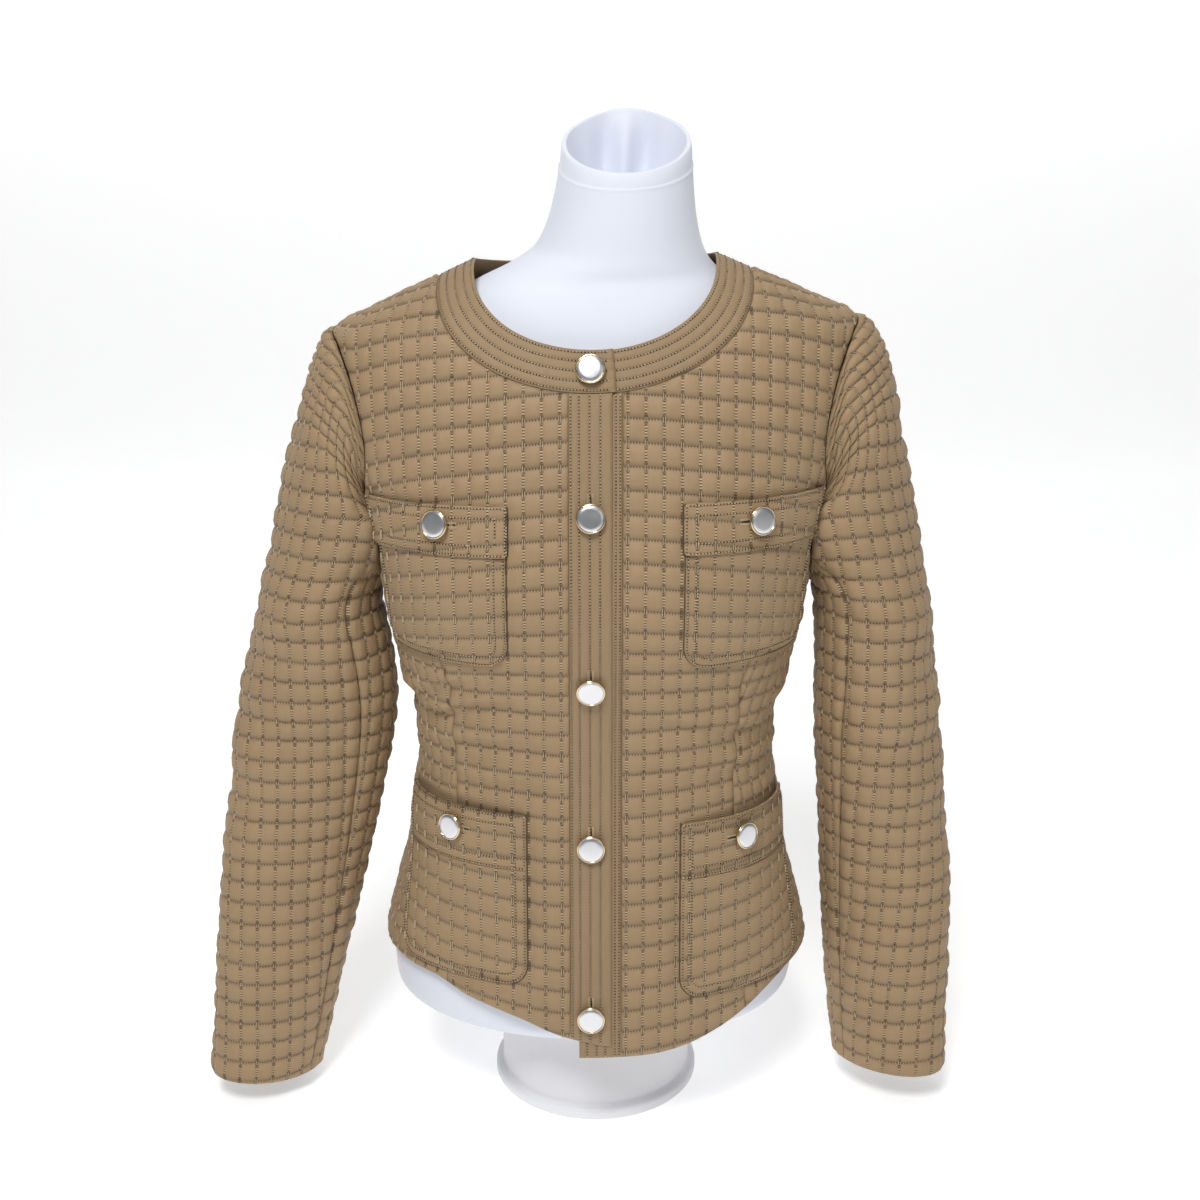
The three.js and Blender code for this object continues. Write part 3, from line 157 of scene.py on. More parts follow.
TORSO = Table(
    "z half front back mid square",
    (60, 170, 124, 112, 0, 2.05),
    (110, 168, 121, 114, 0, 2.05),
    (146, 162, 117, 116, 0, 2.1),
    (181, 153, 112, 110, 0, 2.15),
    (216, 144, 107, 100, 0, 2.2),
    (251, 140, 102, 91, 0, 2.2),
    (300, 133, 98, 86, 0, 2.2),
    (335, 139, 99, 88, 0, 2.2),
    (367, 147, 104, 92, 0, 2.25),
    (400, 154, 110, 97, 0, 2.3),
    (440, 159, 114, 101, 1, 2.35),
    (480, 168, 112, 104, 3, 2.4),
    (520, 178, 105, 103, 5, 2.45),
    (560, 186, 95, 97, 7, 2.45),
    (590, 189, 85, 87, 8, 2.4),
    (609, 190, 76, 77, 8, 2.35),
    (625, 160, 67, 67, 8, 2.3),
    (641, 124, 57, 57, 8, 2.25),
    (648, 108, 51, 52, 8, 2.2),
    (658, 86, 43, 46, 8, 2.2),
    (672, 60, 30, 34, 8, 2.2),
)
BUST = SimpleNamespace(x=86.0, z=440.0, swell=9.0, wide=40.0, tall=40.0)

# Sleeve heads fan out round a line inside the armhole, by tilt in degrees

PIVOT = SimpleNamespace(x=160.0, z=480.0, rate=0.52, last=110.0)
SLEEVE_HEAD = Table(
    "tilt out inward y across",
    (0, 75, -39, 4, 58),
    (11, 72.9, -37, 4, 58),
    (34.5, 77.7, -28, 4.5, 57),
    (52, 92.6, -16, 5, 56.5),
    (65, 113.6, -10, 6.5, 56.5),
    (70, 123.8, -10, 7, 57),
    (73.6, 131, -10.5, 7.3, 57.5),
    (76.5, 134.8, -11, 7.6, 58),
    (78.5, 134.2, -11, 7.8, 58),
    (80, 130, -11, 8, 58),
    (83, 122, -11, 8, 58),
    (88, 112, -11, 8, 58),
    (110, 105, -11, 8, 58),
)
HEAD_RISE = (35.0, 55.0)
HEAD_FALL = (68.0, 77.0)


class Hand(Enum):
    """The wearer's two sides."""

    RIGHT = -1
    LEFT = 1

    @property
    def word(self) -> str:
        """The side's name in the names of the pieces."""
        return self.name.lower()


SLEEVE_ARM = {
    Hand.LEFT: Table(
        "z x y along across turn",
        (480, 178, 4, 57, 58, 0),
        (464, 184, 4, 54, 58, 0),
        (445, 194, 4, 48, 57, 0),
        (430, 202, 4, 43, 56, 0),
        (410, 208.5, 3, 40.5, 56, 0),
        (369, 213, 2, 42, 55, 2),
        (304, 218.5, 0, 45.5, 50, 8),
        (236, 224.5, -4, 46.5, 45, 15),
        (166, 229.5, -12, 48.5, 39, 22),
        (94, 232, -20, 46.5, 34, 28),
        (20, 237, -28, 44, 31, 34),
        (-20, 240, -32, 43, 30.5, 36),
    ),
    Hand.RIGHT: Table(
        "z x y along across turn",
        (480, 178, 4, 57, 58, 0),
        (464, 184, 4, 54, 58, 0),
        (445, 194, 4, 48, 57, 0),
        (430, 203, 4, 43.5, 56, 0),
        (410, 208.5, 3, 43, 56, 0),
        (369, 210.5, 2, 51, 50, 2),
        (337, 212.5, 1, 56.5, 43, 4),
        (304, 217, 0, 58.5, 39, 8),
        (236, 228.5, -4, 57, 36, 15),
        (166, 241, -12, 54, 35, 22),
        (94, 253, -20, 48.5, 34, 28),
        (20, 266, -28, 44.5, 31, 34),
        (-20, 275, -32, 44, 30.5, 36),
    ),
}
HEAD_FULLNESS = {Hand.LEFT: 0.03, Hand.RIGHT: -0.03}
SLEEVE_SEAM = SimpleNamespace(turn=125.0, close_from=425.0, close_over=55.0, gap=0.2)
CUFF = {
    Hand.LEFT: SimpleNamespace(middle=25.0, outward=-0.02, forward=0.08),
    Hand.RIGHT: SimpleNamespace(middle=18.0, outward=0.1, forward=0.08),
}

# Cut lines of the body

NECK_SEAM = SimpleNamespace(half=112.0, z=646.0, front_drop=72.0, back_drop=23.0)
NECK_EDGE = SimpleNamespace(half=86.0, z=658.0, front_drop=56.0, back_drop=8.0)
FRONT_SEAM = SmoothCurve(
    (60, 151, 281, 355, 386, 430, 470, 486, 500),
    (117, 110, 102, 104, 111, 128, 151, 176, 260),
)
BACK_SEAM = SmoothCurve(
    (60, 151, 281, 386, 430, 470, 486, 500),
    (139, 132, 108, 120, 132, 150, 176, 260),
)
HEM_OVER = SmoothCurve(
    (-175, -150, -124, -95, -57, -24, 14, 40),
    (127, 131, 131, 122, 112, 101, 93, 92),
)
HEM_UNDER = SmoothCurve(
    (-40, 40, 66, 93, 112, 139, 150, 175),
    (82, 84, 88, 97, 106, 121, 125, 126),
)
ROW_BASE = SimpleNamespace(z=430.0, sag=19.0, squeeze=0.1, at=150.0, limit=175.0)


def section(ring: SimpleNamespace, turn: Array) -> tuple[Array, Array]:
    """A section's outline.

    Args:
        ring: The section's half width, depths, middle and squareness.
        turn: The turn from the middle front towards +X.

    Returns:
        The x and y of the outline there.
    """
    power = 2.0 / ring.square
    across = np.sign(np.sin(turn)) * np.abs(np.sin(turn)) ** power
    fore = np.sign(np.cos(turn)) * np.abs(np.cos(turn)) ** power
    depth = np.where(np.cos(turn) > 0, ring.front, ring.back)
    return ring.half * across, ring.mid - depth * fore


def bust_swell(x: Array, y: Array, z: Array, mid: Array) -> Array:
    """How far the bust swells the front of a section."""
    across = (np.abs(x) - BUST.x) / BUST.wide
    up = (z - BUST.z) / BUST.tall
    return np.where(y >= mid, 0.0, BUST.swell * np.exp(-(across**2 + up**2) / 2.0))


def lean_of(x: Array, z: Array) -> Array:
    """How much higher the leaning shoulders set a point."""
    return SHOULDER_LEAN * x * smooth((z - LEAN_FROM) / (LEAN_TO - LEAN_FROM))


def stack(x: Array, y: Array, z: Array) -> Array:
    """Points from their coordinates, broadcast against each other."""
    return np.stack(np.broadcast_arrays(x, y, z), axis=-1).astype(float)


def leaned(x: Array, y: Array, z: Array) -> Array:
    """Points from their coordinates, set to the lean of the shoulders."""
    return stack(x, y, z + lean_of(x, z))


def distance_to(level: Callable[[Array], Array]) -> Callable[[Array], Array]:
    """Turns a shape's level function into a distance outside it.

    Args:
        level: Zero on the shape, positive outside.

    Returns:
        A function from points to signed distances.
    """

    def distance(points: Array) -> Array:
        """The distance of each point outside the shape."""
        step = 0.5
        slopes = [(level(points + step * axis) - level(points - step * axis)) / (2 * step) for axis in np.eye(3)]
        return level(points) / np.maximum(1e-6, np.sqrt(sum(slope**2 for slope in slopes)))

    return distance


class BodyShape:
    """The inside face of the jacket's body, by distance round and height."""

    LOW = 60
    HIGH = 672
    SAMPLES = 480

    def __init__(self) -> None:
        """Measures every section round from the middle front."""
        heights = np.arange(self.LOW, self.HIGH + 1, dtype=float)[:, None]
        turn = np.linspace(0.0, math.pi, self.SAMPLES + 1)[None, :]
        ring = TORSO.at(heights)
        x, y = section(ring, turn)
        y = y - bust_swell(x, y, heights, ring.mid)
        steps = np.hypot(np.diff(x, axis=1), np.diff(y, axis=1))
        along = np.concatenate([np.zeros((len(heights), 1)), np.cumsum(steps, axis=1)], axis=1)
        self.wholes = along[:, -1]
        self.sides = along[:, self.SAMPLES // 2]
        even = np.linspace(0.0, 1.0, self.SAMPLES + 1)
        self.xs = np.stack([np.interp(even * a[-1], a, row) for a, row in zip(along, x)])
        self.ys = np.stack([np.interp(even * a[-1], a, row) for a, row in zip(along, y)])
        self.outside = distance_to(self.level)

    def whole(self, z: Array) -> Array:
        """The distance from the middle front to the middle back."""
        return np.interp(z, np.arange(self.LOW, self.HIGH + 1), self.wholes)

    def side(self, z: Array) -> Array:
        """The distance from the middle front to the side."""
        return np.interp(z, np.arange(self.LOW, self.HIGH + 1), self.sides)

    def at(self, distance: Array, z: Array) -> Array:
        """Points of the face.

        Args:
            distance: The distance round from the middle front, positive towards +X.
            z: The height before the shoulders lean.

        Returns:
            The points.
        """
        distance, z = np.broadcast_arrays(np.asarray(distance, float), np.asarray(z, float))
        level = np.clip(z - self.LOW, 0.0, len(self.wholes) - 1.001)
        low = level.astype(int)
        up = level - low
        whole = self.wholes[low] * (1 - up) + self.wholes[low + 1] * up
        past = np.abs(distance) > whole
        folded = np.where(past, 2 * whole - np.abs(distance), np.abs(distance))
        place = np.clip(folded / whole, 0.0, 1.0) * self.SAMPLES
        k = np.minimum(place.astype(int), self.SAMPLES - 1)
        on = place - k

        def blend(grid: Array) -> Array:
            """The grid's value between its four corners."""
            below = grid[low, k] * (1 - on) + grid[low, k + 1] * on
            above = grid[low + 1, k] * (1 - on) + grid[low + 1, k + 1] * on
            return below * (1 - up) + above * up

        x = np.where(past, -1.0, 1.0) * blend(self.xs) * np.sign(distance)
        return leaned(x, blend(self.ys), z)

    def from_side(self, hand: Hand) -> Surface:
        """The face by the distance from one side line."""
        return lambda u, z: self.at(hand.value * self.side(z) + u, z)

    def from_back(self, u: Array, z: Array) -> Array:
        """The face by the distance from the middle back, towards the wearer's right."""
        return self.at(self.whole(z) + u, z)

    @staticmethod
    def level(points: Array) -> Array:
        """Zero on the face and positive outside it."""
        z = np.minimum(points[..., 2] - lean_of(points[..., 0], points[..., 2]), RIDGE_TOP)
        ring = TORSO.at(z)
        y = points[..., 1] + bust_swell(points[..., 0], points[..., 1], z, ring.mid)
        depth = np.where(y < ring.mid, ring.front, ring.back)
        wide = (np.abs(points[..., 0]) / ring.half) ** ring.square
        deep = (np.abs(y - ring.mid) / depth) ** ring.square
        return (wide + deep) ** (1.0 / ring.square) - 1.0


class SleeveShape:
    """The inside face of one sleeve, by distance round and place up the sleeve."""

    LOW = -20
    HIGH = 692
    SAMPLES = 120

    def __init__(self, hand: Hand) -> None:
        """Measures every section round from the outer line.

        Args:
            hand: The wearer's side.
        """
        self.hand = hand
        places = np.arange(self.LOW, self.HIGH + 1, dtype=float)[:, None]
        turn = (np.arange(self.SAMPLES)[None, :] + 0.5) * math.pi / self.SAMPLES
        ring = self.section(places)
        speed = np.hypot(ring.along * np.sin(turn), ring.across * np.cos(turn))
        steps = speed * math.pi / self.SAMPLES
        along = np.concatenate([np.zeros((len(places), 1)), np.cumsum(steps, axis=1)], axis=1)
        self.halves = along[:, -1]
        even = np.linspace(0.0, 1.0, self.SAMPLES + 1)
        turns = np.linspace(0.0, math.pi, self.SAMPLES + 1)
        self.turns = np.stack([np.interp(even * a[-1], a, turns) for a in along])
        self.outside = distance_to(self.level)

    def section(self, place: Array) -> SimpleNamespace:
        """The section at a place: a height, and above the pivot a tilt too.

        Args:
            place: The place up the sleeve.

        Returns:
            The section's middle, half widths, turn and tilt.
        """
        arm = SLEEVE_ARM[self.hand].at(place)
        tilt = np.clip((place - PIVOT.z) * PIVOT.rate, 0.0, PIVOT.last)
        head = SLEEVE_HEAD.at(tilt)
        rise = smooth((tilt - HEAD_RISE[0]) / (HEAD_RISE[1] - HEAD_RISE[0]))
        fall = smooth((tilt - HEAD_FALL[0]) / (HEAD_FALL[1] - HEAD_FALL[0]))
        out = head.out * (1.0 + HEAD_FULLNESS[self.hand] * rise * (1.0 - fall))
        middle = (out + head.inward) / 2.0
        angle = np.radians(tilt)
        above = place > PIVOT.z
        return SimpleNamespace(
            x=np.where(above, PIVOT.x + middle * np.cos(angle), arm.x),
            z=np.where(above, PIVOT.z + middle * np.sin(angle), place),
            y=np.where(above, head.y, arm.y),
            along=np.where(above, (out - head.inward) / 2.0, arm.along),
            across=np.where(above, head.across, arm.across),
            turn=np.where(above, 0.0, np.radians(arm.turn)),
            tilt=np.where(above, angle, 0.0),
        )

    def half_round(self, place: Array) -> Array:
        """Half the way round the sleeve."""
        return np.interp(place, np.arange(self.LOW, self.HIGH + 1), self.halves)

    def turn_at(self, u: Array, place: Array) -> Array:
        """The turn from the outer line at a distance round.

        Args:
            u: The distance round, positive towards the back.
            place: The place up the sleeve.

        Returns:
            The turn, in radians.
        """
        u, place = np.broadcast_arrays(np.asarray(u, float), np.asarray(place, float))
        level = np.clip(place - self.LOW, 0.0, len(self.halves) - 1.001)
        low = level.astype(int)
        up = level - low
        half = self.halves[low] * (1 - up) + self.halves[low + 1] * up
        share = np.clip(np.abs(u) / half, 0.0, 1.0) * self.SAMPLES
        k = np.minimum(share.astype(int), self.SAMPLES - 1)
        on = share - k
        below = self.turns[low, k] * (1 - on) + self.turns[low, k + 1] * on
        above = self.turns[low + 1, k] * (1 - on) + self.turns[low + 1, k + 1] * on
        return np.sign(u) * (below * (1 - up) + above * up)

    def at(self, u: Array, place: Array) -> Array:
        """Points of the face.

        Args:
            u: The distance round from the outer line, positive towards the back.
            place: The place up the sleeve.

        Returns:
            The points.
        """
        turn = self.turn_at(u, place)
        ring = self.section(place)
        out = ring.along * np.cos(turn)
        back = ring.across * np.sin(turn)
        reach = out * np.cos(ring.turn) + back * np.sin(ring.turn)
        return leaned(
            self.hand.value * (ring.x + reach * np.cos(ring.tilt)),
            ring.y - out * np.sin(ring.turn) + back * np.cos(ring.turn),
            ring.z + out * np.sin(ring.tilt),
        )

    def round_from_inside(self, u: Array, place: Array) -> Array:
        """The distance from the outer line, for one from the inner line."""
        half = self.half_round(place)
        return np.where(u > 0, u - half, u + half)

    def from_inside(self, u: Array, place: Array) -> Array:
        """Points of the face by the distance from the inner line."""
        return self.at(self.round_from_inside(u, place), place)

    def level(self, points: Array) -> Array:
        """Zero on the face and positive outside it."""
        z = points[..., 2] - lean_of(points[..., 0], points[..., 2])
        x = self.hand.value * points[..., 0]
        tilt = np.degrees(np.arctan2(z - PIVOT.z, x - PIVOT.x))
        above = z > PIVOT.z
        place = np.where(above, PIVOT.z + np.minimum(PIVOT.last, tilt) / PIVOT.rate, z)
        ring = self.section(place)
        middle = np.hypot(ring.x - PIVOT.x, ring.z - PIVOT.z)
        reach = np.where(above, np.hypot(x - PIVOT.x, z - PIVOT.z) - middle, x - ring.x)
        y = points[..., 1] - ring.y
        out = reach * np.cos(ring.turn) - y * np.sin(ring.turn)
        back = reach * np.sin(ring.turn) + y * np.cos(ring.turn)
        return np.hypot(out / ring.along, back / ring.across) - 1.0

    def seam_turn(self, place: Array) -> Array:
        """How far round the sleeve's two seams lie, in radians."""
        closing = smooth((place - SLEEVE_SEAM.close_from) / SLEEVE_SEAM.close_over)
        return np.radians(SLEEVE_SEAM.turn + (181.0 - SLEEVE_SEAM.turn) * closing)

    def above_cuff(self, points: Array) -> Array:
        """How far a point is above the cuff's edge."""
        cuff = CUFF[self.hand]
        end = self.section(np.array(cuff.middle))
        edge = cuff.middle + cuff.outward * (self.hand.value * points[..., 0] - end.x)
        return points[..., 2] - edge - cuff.forward * (end.y - points[..., 1])


BODY = BodyShape()
SLEEVES = {hand: SleeveShape(hand) for hand in Hand}


def normals(surface: Surface, u: Array, z: Array, flip: int) -> Array:
    """Outward normals of a surface.

    Args:
        surface: The surface by two measures.
        u: The first measure.
        z: The second measure.
        flip: -1 where the measures run the other way round.

    Returns:
        One unit vector for each place.
    """
    step = 0.6
    across = surface(u + step, z) - surface(u - step, z)
    up = surface(u, z + step) - surface(u, z - step)
    out = np.cross(across, up)
    return flip * out / np.maximum(1e-9, np.linalg.norm(out, axis=-1, keepdims=True))


def below_neck_seam(points: Array) -> Array:
    """How far points lie below the neck seam."""
    z = points[..., 2] - lean_of(points[..., 0], points[..., 2])
    drop = np.where(points[..., 1] < TORSO.at(z).mid, NECK_SEAM.front_drop, NECK_SEAM.back_drop)
    out = np.hypot(points[..., 0] / NECK_SEAM.half, np.maximum(0.0, NECK_SEAM.z - z) / drop) - 1.0
    wide = np.minimum(1.0, np.abs(points[..., 0]) / NECK_SEAM.half)
    return out * (drop + (NECK_SEAM.half - drop) * wide) - SEAM_GAP / 2


def halfway(distance: Callable[[Array], Array], surface: Surface, flip: int) -> Measure:
    """A cut line halfway between a wall and the surface that it meets.

    Args:
        distance: The distance outside the other surface.
        surface: The wall's own surface.
        flip: -1 where its measures run the other way round.

    Returns:
        The distance inside the cut line, by the wall's measures.
    """

    def inside(u: Array, z: Array) -> Array:
        """The distance inside the cut line."""
        base = surface(u, z)
        face = base + WALL * normals(surface, u, z, flip)
        spare = UNDERARM_SPARE * smooth((UNDERARM_FROM - z) / UNDERARM_FADE)
        return np.minimum(distance(base), distance(face) - WALL) - ARMHOLE_GAP - spare

    return inside


def outside_sleeves(points: Array) -> Array:
    """The distance outside the sleeve on the point's own side."""
    left = SLEEVES[Hand.LEFT].outside(points)
    right = SLEEVES[Hand.RIGHT].outside(points)
    return np.where(points[..., 0] > 0, left, right)


# Patch pockets by distance round from the middle front and by height


@dataclass(frozen=True)
class PocketPlace:
    """Where one pocket lies and how its button sits."""

    name: str
    side: int
    start: float
    end: float
    top: float
    bottom: float
    head: float
    button: tuple[float, float, float]
    corner: float = 17.0

    @property
    def chest(self) -> bool:
        """Whether this is a chest pocket, with a flap."""
        return self.name.startswith("chest")

    def inside(self, s: Array, z: Array, low: Optional[float] = None, sharp: bool = False) -> Array:
        """The distance inside the pocket's outline.

        Args:
            s: The distance round from the middle front.
            z: The height.
            low: The outline's foot, where it isn't the pocket's own.
            sharp: Whether all four corners are sharp.

        Returns:
            The distance, negative outside.
        """
        foot = self.bottom if low is None else low
        spare = 1.5 if sharp else 0.0
        middle = (self.start + self.end) / 2.0
        centre = (self.top + foot) / 2.0
        corner = np.where((z < centre) & (not sharp), self.corner, 3.0)
        across = np.abs(s * self.side - middle) - (self.end - self.start) / 2.0 - spare + corner
        up = np.abs(z - centre) - (self.top - foot) / 2.0 + corner
        out = np.hypot(np.maximum(0.0, across), np.maximum(0.0, up))
        return corner - out - np.minimum(0.0, np.maximum(across, up))


POCKETS = (
    PocketPlace("chest_right", -1, 61, 176, 501, 386, 34, (108, 488, 3.4)),
    PocketPlace("chest_left", 1, 62, 176, 501, 384, 34, (113, 487, 3.4)),
    PocketPlace("hip_right", -1, 50, 166, 268, 138, 42, (106, 252, 1.5)),
    PocketPlace("hip_left", 1, 63, 178, 260, 126, 42, (111, 244, 2.15)),
)
POCKET_CALM = 3.0
POCKET_STAND = SimpleNamespace(near=0.9, far=2.2, start=80.0, end=140.0)
MOUTH_GAPE = 3.5
DOUBLE_ROW = (1.5, 8.0)


def clear_of_pockets(s: Array, z: Array) -> Array:
    """The distance outside every pocket, less the calm border round it."""
    return np.min([-place.inside(s, z) for place in POCKETS], axis=0) - POCKET_CALM


def fold_room(s: Array, z: Array) -> Array:
    """The distance from all that holds the body's cloth flat.

    Args:
        s: The distance round from the middle front.
        z: The height.

    Returns:
        The distance to the nearest pocket, band or armhole.
    """
    sleeve = outside_sleeves(BODY.at(s, z)) - 4.0
    return np.min([clear_of_pockets(s, z), np.abs(s) - 20.0, sleeve], axis=0)


def top_lift(s: Array) -> Array:
    """How far the right front has risen to pass over the left front's band."""
    return TOP_LIFT * smooth((LIFT_START + s) / (LIFT_START + PLACKET[0]))


# Quilting


@dataclass(frozen=True)
class Grain:
    """A grid in the cloth's own grain: its squares and the lines drawn inside each."""

    column: float
    row: float
    column_stops: tuple[float, ...] = (0.0,)
    row_stops: tuple[float, ...] = (0.0,)

    @staticmethod
    def lines(low: float, high: float, stops: tuple[float, ...]) -> Array:
        """Every line from below one place to above another, in squares."""
        whole = np.arange(math.floor(low), math.ceil(high) + 1)
        return np.sort((whole[:, None] + np.array(stops)[None, :]).ravel())


QUILTING = Grain(12.4, 16.5, (0.0, 0.1, 0.37, 0.63, 0.9), (0.0, 0.075, 0.3, 0.5, 0.7, 0.925))
PLAIN = Grain(0.8, 3.6)
FRONT_SHIFT = {Hand.RIGHT: 1.1, Hand.LEFT: -2.4}
POCKET_SHIFT = {-1: 1.8, 1: -5.3}


def sidewise(s: Array) -> Array:
    """How far the rows have sagged at a distance from the middle front, as a share."""
    return (np.minimum(np.abs(s), ROW_BASE.limit) / ROW_BASE.at) ** 2


def front_rows(u: Array) -> tuple[Array, Array]:
    """The first row's height and how closely the rows below it follow."""
    share = sidewise(u)
    return ROW_BASE.z - ROW_BASE.sag * share, 1.0 + ROW_BASE.squeeze * share


def side_rows(u: Array) -> tuple[Array, Array]:
    """The rows of a side panel, level with the front's outer ones."""
    return front_rows(np.full_like(u, ROW_BASE.limit))


def back_rows(u: Array) -> tuple[Array, Array]:
    """The rows of the back panel."""
    return np.full_like(u, ROW_BASE.z - ROW_BASE.sag), np.ones_like(u)


def sleeve_rows(u: Array) -> tuple[Array, Array]:
    """The rows of a sleeve."""
    return np.full_like(u, 220.0), np.ones_like(u)


def chance(first: Array, second: Array, seed: int) -> Array:
    """A fixed random share for each pair of whole numbers."""
    mixed = np.sin(first * 12.9898 + second * 78.233 + seed * 3.717) * 43758.5453
    return mixed - np.floor(mixed)


def ripple(u: Array, z: Array, seed: int, size: float) -> Array:
    """Soft, fixed unevenness of about -1 to 1.

    Args:
        u: The first measure.
        z: The second measure.
        seed: Which ripple this is.
        size: How long its waves are.

    Returns:
        The unevenness.
    """
    made = np.zeros(np.broadcast(u, z).shape)
    for k in range(5):
        angle = 2.399 * (k + seed)
        pace = (0.8 + 0.23 * k) * 2.0 * math.pi / size
        made = made + np.sin(pace * (u * math.cos(angle) + z * math.sin(angle)) + 1.7 * k * seed + 0.6)
    return made / 3.2


@dataclass(frozen=True)
class Fold:
    """One soft fold: where it lies, how it runs and how far it stands out."""

    u: float
    z: float
    turn: float
    long: float
    wide: float
    rise: float

    def at(self, u: Array, z: Array) -> Array:
        """How far the fold stands out at a place."""
        cosine, sine = math.cos(math.radians(self.turn)), math.sin(math.radians(self.turn))
        along = (u - self.u) * cosine + (z - self.z) * sine
        across = (z - self.z) * cosine - (u - self.u) * sine
        return self.rise * np.exp(-((along / self.long) ** 2 + (across / self.wide) ** 2) / 2.0)


BODY_FOLDS = (
    Fold(-122, 366, 20, 26, 4, 2.2),
    Fold(-126, 354, 24, 28, 4, -2.0),
    Fold(-104, 350, 18, 34, 4.5, 2.6),
    Fold(-108, 338, 18, 34, 4.5, -2.2),
    Fold(-92, 326, 10, 40, 6, 3.0),
    Fold(-88, 312, 6, 40, 6, -2.2),
    Fold(-64, 300, 4, 34, 6, 2.2),
    Fold(-60, 288, 2, 34, 6, -1.8),
    Fold(-66, 548, 62, 30, 7, 2.2),
    Fold(-82, 540, 64, 28, 7, -1.8),
    Fold(-40, 214, 80, 60, 8, 1.6),
    Fold(42, 556, 62, 26, 4.5, 2.6),
    Fold(34, 548, 64, 24, 4.5, -2.2),
    Fold(78, 546, -60, 30, 7, 2.0),
    Fold(60, 352, -6, 30, 6, 2.2),
    Fold(92, 336, -14, 36, 5.5, 2.8),
    Fold(98, 324, -12, 36, 5.5, -2.4),
    Fold(86, 306, -6, 40, 6, 2.6),
    Fold(80, 292, -4, 40, 6, -2.0),
    Fold(42, 206, -80, 60, 8, 1.6),
    Fold(-170, 352, -8, 40, 6, 2.6),
    Fold(-176, 336, -6, 40, 6, -2.2),
    Fold(-168, 304, 6, 44, 7, 2.4),
    Fold(172, 346, 8, 40, 6, 2.6),
    Fold(178, 330, 6, 40, 6, -2.2),
    Fold(168, 300, -6, 44, 7, 2.2),
)
BACK_FOLDS = (
    Fold(-70, 330, 8, 60, 9, 1.8),
    Fold(60, 322, -9, 60, 9, 1.8),
    Fold(-20, 300, 3, 60, 9, -1.6),
    Fold(30, 282, -4, 50, 8, 1.4),
    Fold(-95, 540, 60, 40, 10, 1.5),
    Fold(95, 545, -60, 40, 10, 1.5),
)
SLEEVE_FOLDS = {
    Hand.RIGHT: (
        Fold(-60, 404, -24, 34, 8, 2.4),
        Fold(-66, 380, -18, 34, 8, -2.6),
        Fold(-58, 330, 10, 44, 9, 2.6),
        Fold(-60, 302, 16, 40, 8, -2.6),
        Fold(-48, 276, 20, 40, 8, 2.0),
        Fold(10, 300, -8, 40, 9, 1.6),
        Fold(14, 262, 12, 44, 9, -1.5),
        Fold(-30, 214, 6, 46, 9, 1.8),
        Fold(-30, 120, -5, 46, 9, 1.5),
        Fold(30, 560, 70, 40, 9, 1.6),
        Fold(60, 340, 10, 40, 9, 2.2),
        Fold(66, 300, -12, 40, 9, -2.0),
    ),
    Hand.LEFT: (
        Fold(-52, 400, -14, 36, 8, 2.2),
        Fold(-60, 372, -20, 36, 8, -2.4),
        Fold(-50, 322, 8, 42, 9, 2.2),
        Fold(-54, 292, 14, 40, 8, -2.2),
        Fold(-44, 262, 16, 40, 8, 1.8),
        Fold(12, 290, -8, 44, 9, 1.4),
        Fold(-30, 196, 6, 46, 9, 1.6),
        Fold(-26, 110, -6, 46, 9, 1.4),
        Fold(28, 566, 70, 40, 9, 1.5),
        Fold(60, 352, -10, 40, 9, 2.2),
        Fold(62, 308, 12, 40, 9, -2.0),
    ),
}


@dataclass
class Place:
    """Where points lie on a cut piece: its measures, its grain and the way to its edge."""

    u: Array
    z: Array
    column: Array
    row: Array
    edge: Array


@dataclass
class Quilted:
    """Relief of quilted cloth: a pillow in each square between stitched lines."""

    puff: float
    seed: int
    calm: Optional[Measure] = None
    margin: float = 0.0

    def height(self, place: Place) -> Array:
        """How far the outer face stands above a stitched line.

        Args:
            place: Where the points lie.

        Returns:
            The heights.
        """
        across = np.abs(2.0 * (place.column - np.floor(place.column)) - 1.0)
        up = np.abs(2.0 * (place.row - np.floor(place.row)) - 1.0)
        column = 1.0 - 0.72 * across**5
        row = 1.0 - up**5
        drawn = chance(np.floor(place.column + 1e-6), np.floor(place.row + 1e-6), self.seed)
        fade = smooth((place.edge - self.margin) / 3.0)
        if self.calm is not None:
            fade = fade * smooth(self.calm(place.u, place.z) / 4.0)
        uneven = 1.0 + 0.22 * ripple(place.u, place.z, self.seed, 31.0)
        return self.puff * column * row * (0.78 + 0.44 * drawn) * uneven * fade


@dataclass
class Stitched:
    """Relief of a plain band: shallow furrows under its rows of stitching."""

    rows: tuple[float, ...]
    seed: int
    depth: float = 0.5

    def height(self, place: Place) -> Array:
        """How far the outer face stands above or below its mean.

        Args:
            place: Where the points lie.

        Returns:
            The heights.
        """
        made = 0.13 * ripple(place.u * 0.6, place.z, self.seed, 9.0)
        made = made + 0.12 * ripple(place.u, place.z, self.seed + 3, 42.0)
        for row in self.rows:
            made = made - self.depth * np.exp(-(((place.u - row) / 1.3) ** 2)) + 0.06
        return made


